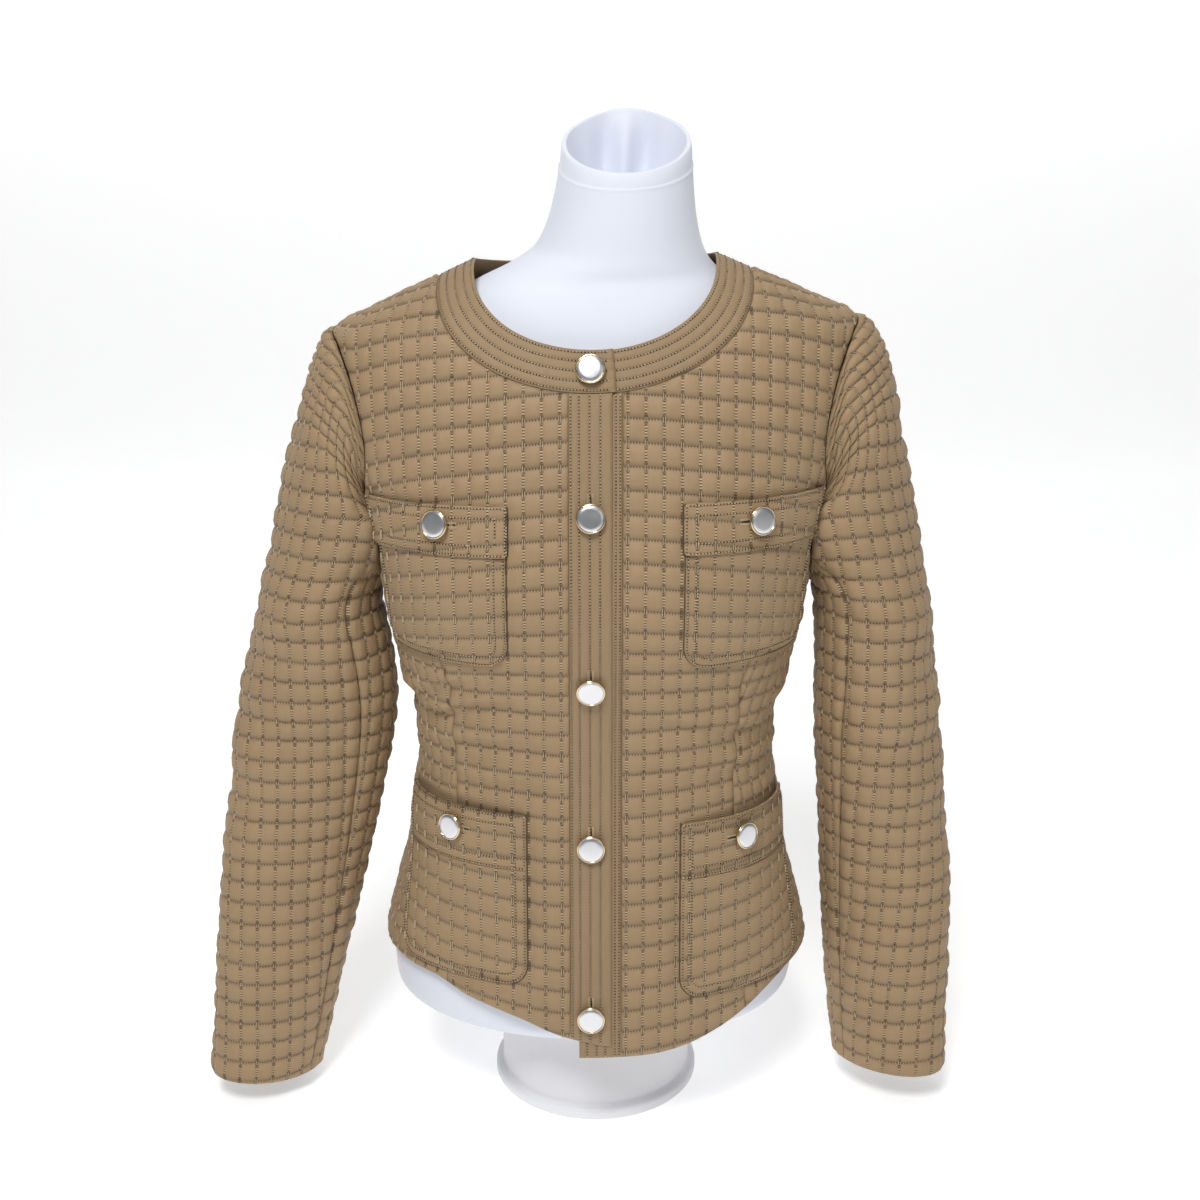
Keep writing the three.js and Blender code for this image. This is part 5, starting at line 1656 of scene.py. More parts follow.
@dataclass
class Sewing:
    """All the stitches that show."""

    crossings: StitchWork = field(default_factory=lambda: StitchWork(CROSSING))
    rows: StitchWork = field(default_factory=lambda: StitchWork(TOPSTITCH))
    # dark dots of painted shade at the needle holes
    holes: StitchWork = field(default_factory=lambda: StitchWork(NEEDLE_HOLE_SHADE))
    bars: StitchWork = field(default_factory=lambda: StitchWork(BAR))

    def topstitch(self, points: Array, out: Array) -> None:
        """Marks one row of stitches with a dark needle hole of painted shade between each two.

        Args:
            points: The row's path.
            out: The cloth's normals along it.
        """
        if len(points) < 2:
            return
        self.rows.add(points + 0.05 * out, out)
        along = np.concatenate([[0.0], np.cumsum(np.linalg.norm(np.diff(points, axis=0), axis=1))])
        half = along[-1] / max(1.0, math.floor(along[-1] / NEEDLE_HOLE_SHADE.pitch)) / 2.0
        way = np.linspace(half, along[-1] - half, len(points))
        moved = np.stack([np.interp(way, along, points[:, k]) for k in range(3)], axis=-1)
        turned = np.stack([np.interp(way, along, out[:, k]) for k in range(3)], axis=-1)
        self.holes.add(moved, turned)

    def quilt(self, cut: Cut, spare: float = 2.2, hidden: Optional[Measure] = None) -> None:
        """Marks a stitch at every crossing of the quilting lines.

        Args:
            cut: The quilted piece.
            spare: How far from an edge the last crossing may be.
            hidden: Positive where a crossing shows.
        """
        squares = (cut.columns - cut.shift) / cut.grain.column
        whole = np.abs(squares - np.round(squares)) < 1e-6
        rows = np.arange(math.ceil(cut.travelled.min()), math.floor(cut.travelled.max()) + 1)
        z = np.stack([np.interp(rows, line, cut.steps) for line in cut.travelled[whole]]).ravel()
        u = np.repeat(cut.columns[whole], len(rows))
        shows = cut.edge(u, z) > spare
        if hidden is not None:
            shows &= hidden(u, z) > 0
        u, z = u[shows], z[shows]
        outer, _, out = cut.faces_at(u, z)
        ahead, _, _ = cut.faces_at(u, z + 1.5)
        behind, _, _ = cut.faces_at(u, z - 1.5)
        self.crossings.add(outer + 0.12 * out, out, ahead - behind)

    def row(self, cut: Cut, u: Array, z: Array, spare: float = 0.8) -> None:
        """Marks a row of topstitching on a piece.

        Args:
            cut: The piece.
            u: The first measure of the row's points.
            z: The second measure of the row's points.
            spare: How far from an edge the row ends.
        """
        shows = cut.edge(u, z) > spare
        starts = np.flatnonzero(np.diff(np.concatenate([[0], shows.astype(int)])) == 1)
        stops = np.flatnonzero(np.diff(np.concatenate([shows.astype(int), [0]])) == -1)
        for start, stop in zip(starts, stops):
            part = slice(start, stop + 1)
            outer, _, out = cut.faces_at(u[part], z[part])
            self.topstitch(outer, out)


# Jacket


@dataclass
class Dressing:
    """What every part of the jacket needs to dress its pieces."""

    finishes: Finishes
    sewing: Sewing

    def hang(self, cut: Cut, node: str, plain: bool = False, held: str = "hung", on: Sequence[str] = ("dress_form",), trim: Sequence[bpy.types.Object] = ()) -> bpy.types.Object:
        """Sews a cut piece and puts it in the place of its solid.

        Args:
            cut: The piece.
            node: The solid that it stands for.
            plain: Whether the cloth is unquilted.
            held: How the cloth is held; not used.
            on: What it rests on; not used.
            trim: The separate pieces on it; not used.

        Returns:
            The piece.
        """
        mesh = cut.sew()
        finish = self.finishes.plain if plain else self.finishes.quilted
        piece = make_object(node + "_cloth", mesh.points, mesh.faces, finish, mesh.grain)
        grid = mesh.grain[: len(mesh.grain) // 2]
        size = (grid.max(axis=0) - grid.min(axis=0)) * np.array([cut.grain.column, cut.grain.row]) * MM
        size = size * max(1.0, math.sqrt(mesh.flat_area / (size[0] * size[1])))
        self.declare(piece, node, (float(size[0]), float(size[1])), mesh.flat_area)
        return piece

    def declare(self, piece: bpy.types.Object, node: str, size: tuple[float, float], area: float) -> None:
        """Hangs a piece of cloth on the root, hides the solid that it stands for and logs its flat size."""
        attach(piece, "root")
        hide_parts(node)
        LOG.info("%s: flat %.0f x %.0f mm, %.0f cm2", piece.name, size[0] / MM, size[1] / MM, area * 1e4)
        report(piece)


@dataclass
class JacketBody:
    """Fronts, sides and back."""

    low: float = 60.0
    high: float = RIDGE_TOP

    def front(self, hand: Hand) -> Cut:
        """One front panel."""
        side = hand.value
        band = UNDERLAP[1] if hand is Hand.LEFT else -PLACKET[0]
        hem = HEM_UNDER if hand is Hand.LEFT else HEM_OVER
        return Cut(
            name=f"front_{hand.word}",
            surface=BODY.at,
            across=(0, 260) if side > 0 else (-260, 0),
            heights=(self.low, self.high),
            edges=[
                lambda u, z: side * u - band - SEAM_GAP / 2,
                lambda u, z: z - hem(BODY.at(u, z)[..., 0]),
                lambda u, z: below_neck_seam(BODY.at(u, z)),
                lambda u, z: FRONT_SEAM(z) - np.abs(BODY.at(u, z)[..., 0]) - SEAM_GAP / 2,
                lambda u, z: BODY.side(z) - side * u - SEAM_GAP / 2,
                halfway(outside_sleeves, BODY.at, 1),
            ],
            wall=WALL,
            relief=Quilted(PUFF, 11 + side, clear_of_pockets),
            lift=lambda u, z: top_lift(u) if hand is Hand.RIGHT else np.zeros(np.shape(u)),
            rows=front_rows,
            folds=BODY_FOLDS,
            fold_calm=fold_room,
            shift=FRONT_SHIFT[hand],
        )

    def side(self, hand: Hand) -> Cut:
        """One side panel, round under the arm."""
        side = hand.value
        at = BODY.from_side(hand)
        hem = HEM_UNDER if hand is Hand.LEFT else HEM_OVER

        def above_hem(u: Array, z: Array) -> Array:
            """The height above the hem, which levels out towards the back."""
            front = hem(at(u, z)[..., 0])
            level = front + (HEM_BACK - front) * smooth(side * u / 60.0)
            return z - np.where(side * u < 0, front, level)

        def calm(u: Array, z: Array) -> Array:
            """The distance outside the pockets that reach this panel."""
            return clear_of_pockets(side * (BODY.side(z) + side * u), z)

        return Cut(
            name=f"side_{hand.word}",
            surface=at,
            across=(-150, 150),
            heights=(self.low, 520),
            edges=[
                lambda u, z: np.where(side * u < 0, np.abs(at(u, z)[..., 0]) - FRONT_SEAM(z) - SEAM_GAP / 2, 99.0),
                lambda u, z: np.where(side * u < 0, 99.0, np.abs(at(u, z)[..., 0]) - BACK_SEAM(z) - SEAM_GAP / 2),
                above_hem,
                halfway(outside_sleeves, at, 1),
            ],
            wall=WALL,
            relief=Quilted(PUFF, 21 + side, calm),
            lift=lambda u, z: np.zeros(np.shape(u)),
            rows=side_rows,
            folds=BODY_FOLDS,
            fold_calm=lambda u, z: fold_room(BODY.side(z) * side + u, z),
            around=lambda u, z: BODY.side(z) * side + u,
        )

    def back(self) -> Cut:
        """The back panel."""
        at = BODY.from_back
        return Cut(
            name="back",
            surface=at,
            across=(-260, 260),
            heights=(self.low, self.high),
            edges=[
                lambda u, z: z - HEM_BACK,
                lambda u, z: below_neck_seam(at(u, z)),
                lambda u, z: BACK_SEAM(z) - np.abs(at(u, z)[..., 0]) - SEAM_GAP / 2,
                lambda u, z: BODY.whole(z) - BODY.side(z) - np.abs(u) - SEAM_GAP / 2,
                halfway(outside_sleeves, at, 1),
            ],
            wall=WALL,
            relief=Quilted(PUFF, 31),
            lift=lambda u, z: np.zeros(np.shape(u)),
            rows=back_rows,
            folds=BACK_FOLDS,
        )

    def build(self, dressing: Dressing) -> None:
        """Builds the five panels and their quilting."""
        for hand in (Hand.RIGHT, Hand.LEFT):
            for cut in (self.front(hand), self.side(hand)):
                dressing.hang(cut, cut.name)
                dressing.sewing.quilt(cut, hidden=cut.relief.calm)
        back = self.back()
        dressing.hang(back, back.name)
        dressing.sewing.quilt(back)


@dataclass
class Sleeves:
    """Two sleeves, each a top piece and an under piece."""

    top_reach: float = 170.0
    under_reach: float = 125.0

    def cuts(self, hand: Hand) -> tuple[Cut, Cut]:
        """The two pieces of one sleeve.

        Args:
            hand: The wearer's side.

        Returns:
            The top piece and the under piece.
        """
        shape = SLEEVES[hand]
        side = hand.value
        shared = dict(
            heights=(shape.LOW, PIVOT.z + PIVOT.last / PIVOT.rate),
            wall=WALL,
            lift=lambda u, z: np.zeros(np.shape(u)),
            rows=sleeve_rows,
            dense=lambda place: 1.0 + smooth((place - 590.0) / 10.0),
            flip=side,
        )

        def round_share(z: Array) -> Array:
            """How much cloth one radian of turn takes."""
            return shape.half_round(z) / math.pi

        def outer_turn(u: Array, z: Array) -> Array:
            """The turn of a place that is measured from the inner line."""
            return np.abs(shape.turn_at(shape.round_from_inside(u, z), z))

        top = Cut(
            name=f"sleeve_top_{hand.word}",
            surface=shape.at,
            across=(-self.top_reach, self.top_reach),
            edges=[
                lambda u, z: shape.above_cuff(shape.at(u, z)),
                halfway(BODY.outside, shape.at, side),
                lambda u, z: (shape.seam_turn(z) - np.abs(shape.turn_at(u, z))) * round_share(z) - SLEEVE_SEAM.gap,
            ],
            relief=Quilted(SLEEVE_PUFF, 41 + side),
            folds=SLEEVE_FOLDS[hand],
            **shared,
        )
        under = Cut(
            name=f"sleeve_under_{hand.word}",
            surface=shape.from_inside,
            across=(-self.under_reach, self.under_reach),
            edges=[
                lambda u, z: shape.above_cuff(shape.from_inside(u, z)),
                halfway(BODY.outside, shape.from_inside, side),
                lambda u, z: (outer_turn(u, z) - shape.seam_turn(z)) * round_share(z) - SLEEVE_SEAM.gap,
            ],
            relief=Quilted(SLEEVE_PUFF, 51 + side),
            **shared,
        )
        return top, under

    def build(self, dressing: Dressing) -> None:
        """Builds both sleeves and their quilting."""
        for hand in (Hand.RIGHT, Hand.LEFT):
            for cut in self.cuts(hand):
                dressing.hang(cut, cut.name)
                dressing.sewing.quilt(cut)


@dataclass
class Plackets:
    """The plain bands down the two front edges."""

    over_rows: tuple[float, ...] = (-16.4, -10.8, -3.6, 3.8)
    under_rows: tuple[float, ...] = (-6.0, 1.0, 7.5, 14.4, 17.4)

    def band(self, name: str, span: tuple[float, float], hem: SmoothCurve, lift: float, rows: tuple[float, ...]) -> Cut:
        """One band.

        Args:
            name: The band's node.
            span: Where it starts and stops round the body.
            hem: Its lower edge.
            lift: How far its inner face stands off the body's.
            rows: Its rows of stitching.

        Returns:
            The band.
        """
        return Cut(
            name=name,
            surface=BODY.at,
            across=(-24, 24),
            heights=(60, 600),
            edges=[
                lambda u, z: u - span[0] - SEAM_GAP / 2,
                lambda u, z: span[1] - u - (SEAM_GAP / 2 if span is UNDERLAP else 0.0),
                lambda u, z: z - hem(u),
                lambda u, z: below_neck_seam(BODY.at(u, z)),
            ],
            wall=BAND_WALL,
            relief=Stitched(rows, 5 if lift else 9),
            lift=lambda u, z: np.full(np.shape(u), lift),
            rows=front_rows,
            grain=PLAIN,
            soft_edge=2.2,
            edge_share=0.35,
        )

    def build(self, dressing: Dressing) -> Cut:
        """Builds both bands with their rows of stitching.

        Args:
            dressing: The jacket's finishes and sewing.

        Returns:
            The upper band, which carries the buttonholes.
        """
        over = self.band("placket_over", PLACKET, HEM_OVER, TOP_LIFT, self.over_rows)
        under = self.band("placket_under", UNDERLAP, HEM_UNDER, 0.0, self.under_rows)
        for cut, rows in ((over, self.over_rows), (under, self.under_rows)):
            dressing.hang(cut, cut.name, plain=True)
            z = np.arange(75.0, 600.0, 2.0)
            for row in rows:
                dressing.sewing.row(cut, np.full(len(z), row), z)
        return over


@dataclass
class NeckBand:
    """The plain band round the neck, whose right end laps over its left end."""

    rows: tuple[float, ...] = (0.07, 0.27, 0.5, 0.73, 0.94)
    samples: int = 120
    shares: int = 41
    stations: int = 300
    end_length: float = 150.0
    rise: float = 0.45

    def line(self, share: float) -> tuple[Array, Array]:
        """One line round half the band, from the middle front to the middle back.

        Args:
            share: How far the line is from the neck's edge towards its seam.

        Returns:
            The line's points before the lean, and the way along it to each.
        """
        mix = {
            key: getattr(NECK_EDGE, key) + (getattr(NECK_SEAM, key) - getattr(NECK_EDGE, key)) * share * 0.994
            for key in ("half", "z", "front_drop", "back_drop")
        }
        i = np.arange(2 * self.samples + 1)
        behind = i > self.samples
        part = np.where(behind, 2 * self.samples - i, i) / self.samples
        turn = (math.pi / 2) * np.sin((math.pi / 2) * part)
        x = mix["half"] * np.sin(turn)
        z = mix["z"] - np.where(behind, mix["back_drop"], mix["front_drop"]) * np.cos(turn)
        ring = TORSO.at(z)
        within = np.minimum(1.0, x / ring.half)
        depth = (1.0 - within**ring.square) ** (1.0 / ring.square)
        y = ring.mid + np.where(behind, ring.back, -ring.front) * depth
        points = np.stack([x, y, z], axis=-1)
        steps = np.linalg.norm(np.diff(points, axis=0), axis=1)
        return points, np.concatenate([[0.0], np.cumsum(steps)])

    def on_line(self, share: float, part: Array) -> Array:
        """Points of one line of the band.

        Args:
            share: How far the line is from the neck's edge towards its seam.
            part: The way round from the middle front, 2 at the middle back and 4 at the front again.

        Returns:
            The points.
        """
        points, along = self.line(share)
        part = np.where(part > 4, part - 4, part)
        folded = np.where(part > 2, 4 - part, np.abs(part))
        mirror = np.where((part > 2) | (part < 0), -1.0, 1.0)
        middle, whole = along[self.samples], along[-1]
        way = np.where(folded < 1, folded * middle, middle + (folded - 1) * (whole - middle))
        x, y, z = (np.interp(way, along, points[:, k]) for k in range(3))
        return leaned(mirror * x, y, z)

    def lift(self, part: Array) -> Array:
        """How far the band has risen to lap over its other end."""
        return TOP_LIFT * smooth((part - (4 - self.rise)) / (self.rise + PLACKET[0] / self.end_length))

    def surface(self, part: Array, share: Array) -> tuple[Array, Array]:
        """Points and normals of the band's inner face.

        Args:
            part: The stations round the band.
            share: The lines across it.

        Returns:
            Points and normals, by line and then by station.
        """
        points = np.stack([self.on_line(s, part) for s in share])
        ahead = np.stack([self.on_line(s, part + 0.004) for s in share])
        behind = np.stack([self.on_line(s, part - 0.004) for s in share])
        across = self.on_line(1.0, part) - self.on_line(0.0, part)
        out = np.cross(across[None], ahead - behind)
        return points, out / np.linalg.norm(out, axis=-1, keepdims=True)

    def top(self, part: Array, share: Array) -> tuple[Array, Array]:
        """Points and normals of the band's outer face."""
        points, out = self.surface(part, share)
        wide = 28.0
        along = part * self.end_length
        edge = np.minimum(share, 1.0 - share)[:, None] * wide
        end = np.minimum(part - self.start, self.stop - part)[None, :] * self.end_length
        rounded = 0.4 + 0.6 * smooth(np.minimum(edge, end) / 2.0)
        relief = 0.16 * ripple(along[None, :], 0.5 * wide * share[:, None], 13, 9.0)
        for row in self.rows:
            relief = relief - 0.5 * np.exp(-((((share - row) * wide) / 1.15) ** 2))[:, None]
        high = self.lift(part)[None, :] + BAND_WALL * rounded + relief * smooth(edge / 1.0)
        return points + out * high[..., None], out

    @property
    def start(self) -> float:
        """Where the left end starts, under the right end."""
        return UNDERLAP[0] / self.end_length

    @property
    def stop(self) -> float:
        """Where the right end stops, over the left end."""
        return 4.0 + PLACKET[1] / self.end_length

    def build(self, dressing: Dressing) -> None:
        """Builds the band and its rows of stitching.

        Args:
            dressing: The jacket's finishes and sewing.
        """
        part = np.linspace(self.start, self.stop, self.stations)
        share = np.linspace(0.0, 1.0, self.shares)
        inner, out = self.surface(part, share)
        inner = inner + out * self.lift(part)[None, :, None]
        outer, _ = self.top(part, share)
        number = np.arange(self.shares * self.stations).reshape(self.shares, self.stations)
        faces = np.stack([number[:-1, :-1], number[1:, :-1], number[1:, 1:], number[:-1, 1:]], axis=-1)
        grain = np.stack(np.meshgrid(share * 28.0, part * self.end_length, indexing="ij"), axis=-1)
        mesh = ClothMesh.closed(
            outer.reshape(-1, 3), inner.reshape(-1, 3), out.reshape(-1, 3), faces.reshape(-1, 4), grain.reshape(-1, 2) / 4.0
        )
        piece = make_object("neck_band_cloth", mesh.points, mesh.faces, dressing.finishes.plain, mesh.grain)
        length = mesh.flat_area / 0.028
        dressing.declare(piece, "neck_band", (0.028, length), mesh.flat_area)
        for row in self.rows:
            points, normal = self.top(part[2:-2], np.array([row]))
            dressing.sewing.topstitch(points[0], normal[0])


@dataclass
class Pockets:
    """Four patch pockets: two with flaps on the chest, two with turned bands on the hips."""

    overhang: float = 1.5
    made: dict[str, Cut] = field(default_factory=dict)

    @staticmethod
    def lift(place: PocketPlace) -> Measure:
        """How far a pocket's inner face stands off the body's.

        Args:
            place: The pocket.

        Returns:
            The distance, by the pocket's measures.
        """

        def lifted(s: Array, z: Array) -> Array:
            """The distance at one place."""
            middle = (place.start + place.end) / 2.0
            across = (np.abs(s) - middle) / ((place.end - place.start) / 2.0)
            up = smooth((z - place.bottom - 30.0) / (place.top - place.bottom - 30.0))
            gape = 0.0 if place.chest else MOUTH_GAPE * np.maximum(0.0, 1.0 - across**2) * up
            span = POCKET_STAND.end - POCKET_STAND.start
            far = POCKET_STAND.far - POCKET_STAND.near
            stand = POCKET_STAND.near + far * smooth((np.abs(s) - POCKET_STAND.start) / span)
            sewn = smooth(place.inside(s, z) / 7.0)
            if not place.chest:
                sewn = np.maximum(sewn, smooth((z - place.top + 16.0) / 12.0) * np.clip(1.3 - across**2, 0.0, 1.0))
            over = top_lift(s) if place.side < 0 else 0.0
            return WALL + 0.5 + (stand - 0.5) * sewn + over + gape

        return lifted

    def cuts(self, place: PocketPlace) -> tuple[Cut, Cut]:
        """A pocket's patch and its flap or band.

        Args:
            place: The pocket.

        Returns:
            The two pieces.
        """
        lifted = self.lift(place)
        seam = place.top - place.head

        def clear(rise: float) -> Measure:
            """Keeps a piece clear of the sleeve."""

            def inside(u: Array, z: Array) -> Array:
                """The distance from the sleeve's outer face."""
                points = BODY.at(u, z) + rise * normals(BODY.at, u, z, 1)
                return outside_sleeves(points) - WALL - SLEEVE_PUFF - 0.3

            return inside

        shared = dict(
            surface=BODY.at,
            across=(24, 216) if place.side > 0 else (-216, -24),
            heights=(100, 520),
            rows=front_rows,
            soft_edge=1.1,
            edge_share=0.72,
            shift=POCKET_SHIFT[place.side],
        )
        foot = place.top - 8.0 if place.chest else seam - SEAM_GAP / 2
        patch = Cut(
            name=f"pocket_{place.name}",
            edges=[
                lambda u, z: place.inside(u, z),
                lambda u, z: foot - z,
                clear(3.0),
            ],
            wall=POCKET_WALL,
            relief=Quilted(POCKET_PUFF, 61, margin=8.0),
            lift=lifted,
            **shared,
        )
        layer = POCKET_WALL + LAYER_GAP if place.chest else 0.0
        head = Cut(
            name=f"{'flap' if place.chest else 'band'}_{place.name}",
            edges=[
                (lambda u, z: place.inside(u, z, seam, True)) if place.chest else (lambda u, z: place.inside(u, z)),
                lambda u, z: z - seam - (0.0 if place.chest else SEAM_GAP / 2),
                clear(5.0 if place.chest else 3.0),
            ],
            wall=POCKET_WALL + (0.0 if place.chest else 0.5),
            relief=Quilted(POCKET_PUFF * 0.7, 71, margin=8.0),
            lift=lambda u, z: lifted(u, z) + layer * (1.0 + 0.5 * smooth((seam + 12.0 - z) / 12.0)),
            **shared,
        )
        return patch, head

    @staticmethod
    def outline(place: PocketPlace, inset: float, low: float, corner: float) -> tuple[Array, Array]:
        """A row that follows a pocket's sides and foot.

        Args:
            place: The pocket.
            inset: How far the row is inside the edge.
            low: The foot's height.
            corner: The corners' radius at the edge.

        Returns:
            The row's distances round and heights, from one top corner to the other.
        """
        left, right = place.start + inset, place.end - inset
        foot, radius = low + inset, max(0.5, corner - inset)
        turn = np.linspace(0.0, math.pi / 2, 8)
        top = place.top - inset
        s = [np.full(40, left), left + radius - radius * np.cos(turn)]
        z = [np.linspace(top, foot + radius, 40), foot + radius - radius * np.sin(turn)]
        s += [np.linspace(left + radius, right - radius, 40)[1:-1], right - radius + radius * np.sin(turn)]
        z += [np.full(38, foot), foot + radius - radius * np.cos(turn)]
        s.append(np.full(40, right))
        z.append(np.linspace(foot + radius, top, 40))
        return place.side * np.concatenate(s), np.concatenate(z)

    def edge_shadow_strip(self, name: str, place: PocketPlace, low: float, corner: float, foot: Measure, dressing: Dressing) -> bpy.types.Object:
        """A dark strip round a pocket's edge: painted shadow in the gap under the edge.

        Args:
            name: The piece's name.
            place: The pocket.
            low: The edge's foot.
            corner: The corners' radius.
            foot: How far the cloth below stands off the body's inner face.
            dressing: The jacket's finishes and sewing.

        Returns:
            The piece.
        """
        lines = [self.outline(place, inset, low, corner) for inset in (-0.85, 0.3, 1.5)]
        s, z = (np.stack([line[k] for line in lines]) for k in range(2))
        base, out = BODY.at(s, z), normals(BODY.at, s, z, 1)
        outer = base + out * (foot(s, z) + np.array([[0.08], [0.3], [0.5]]))[..., None]
        number = np.arange(s.size).reshape(s.shape)
        faces = np.stack([number[:-1, :-1], number[1:, :-1], number[1:, 1:], number[:-1, 1:]], axis=-1)
        points, normal = outer.reshape(-1, 3), out.reshape(-1, 3)
        mesh = ClothMesh.closed(points, points - 0.15 * normal, normal, faces.reshape(-1, 4), np.zeros((s.size, 2)))
        piece = make_object(name, mesh.points, mesh.faces, dressing.finishes.turned)
        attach(piece, "root")
        report(piece)
        return piece

    def build(self, dressing: Dressing) -> None:
        """Builds the pockets and their double stitching.

        Args:
            dressing: The jacket's finishes and sewing.
        """
        for place in POCKETS:
            patch, head = self.cuts(place)
            seam = place.top - place.head
            body = f"front_{'left' if place.side > 0 else 'right'}_cloth"
            lifted = self.lift(place)

            def on_body(s: Array, z: Array) -> Array:
                """The body's outer face."""
                return WALL + (top_lift(s) if place.side < 0 else 0.0)

            def on_patch(s: Array, z: Array) -> Array:
                """The patch's outer face."""
                return np.where(place.inside(s, z) > 0, lifted(s, z) + POCKET_WALL, on_body(s, z))

            # a strip of painted shadow round the pocket's edge
            rim = self.edge_shadow_strip(f"edge_{place.name}", place, place.bottom, place.corner, on_body, dressing)
            dressing.hang(patch, patch.name, held="laid", on=[body], trim=[rim])
            flap_edge_shadows = []
            if place.chest:
                wide = replace(place, start=place.start - self.overhang, end=place.end + self.overhang)
                # a strip of painted shadow under the flap's edge
                flap_edge_shadows.append(self.edge_shadow_strip(f"edge_flap_{place.name}", wide, seam, 3.0, on_patch, dressing))
            dressing.hang(head, head.name, held="laid", on=[body, patch.name + "_cloth"], trim=flap_edge_shadows)
            dressing.sewing.quilt(patch, 3.0)
            dressing.sewing.quilt(head, 3.0)
            self.made[place.name] = head
            for inset in DOUBLE_ROW:
                u, z = self.outline(place, inset, place.bottom, place.corner)
                dressing.sewing.row(patch, u, z, 0.6)
                if not place.chest:
                    dressing.sewing.row(head, u, z, 0.6)
                level = np.linspace(place.start + inset, place.end - inset, 60) * place.side
                for height in (place.top - inset, seam + inset):
                    dressing.sewing.row(head, level, np.full(60, height), 0.6)
                if place.chest:
                    upright = np.linspace(seam + inset, place.top - inset, 20)
                    for edge in (place.start - self.overhang + inset, place.end + self.overhang - inset):
                        dressing.sewing.row(head, np.full(20, place.side * edge), upright, 0.6)


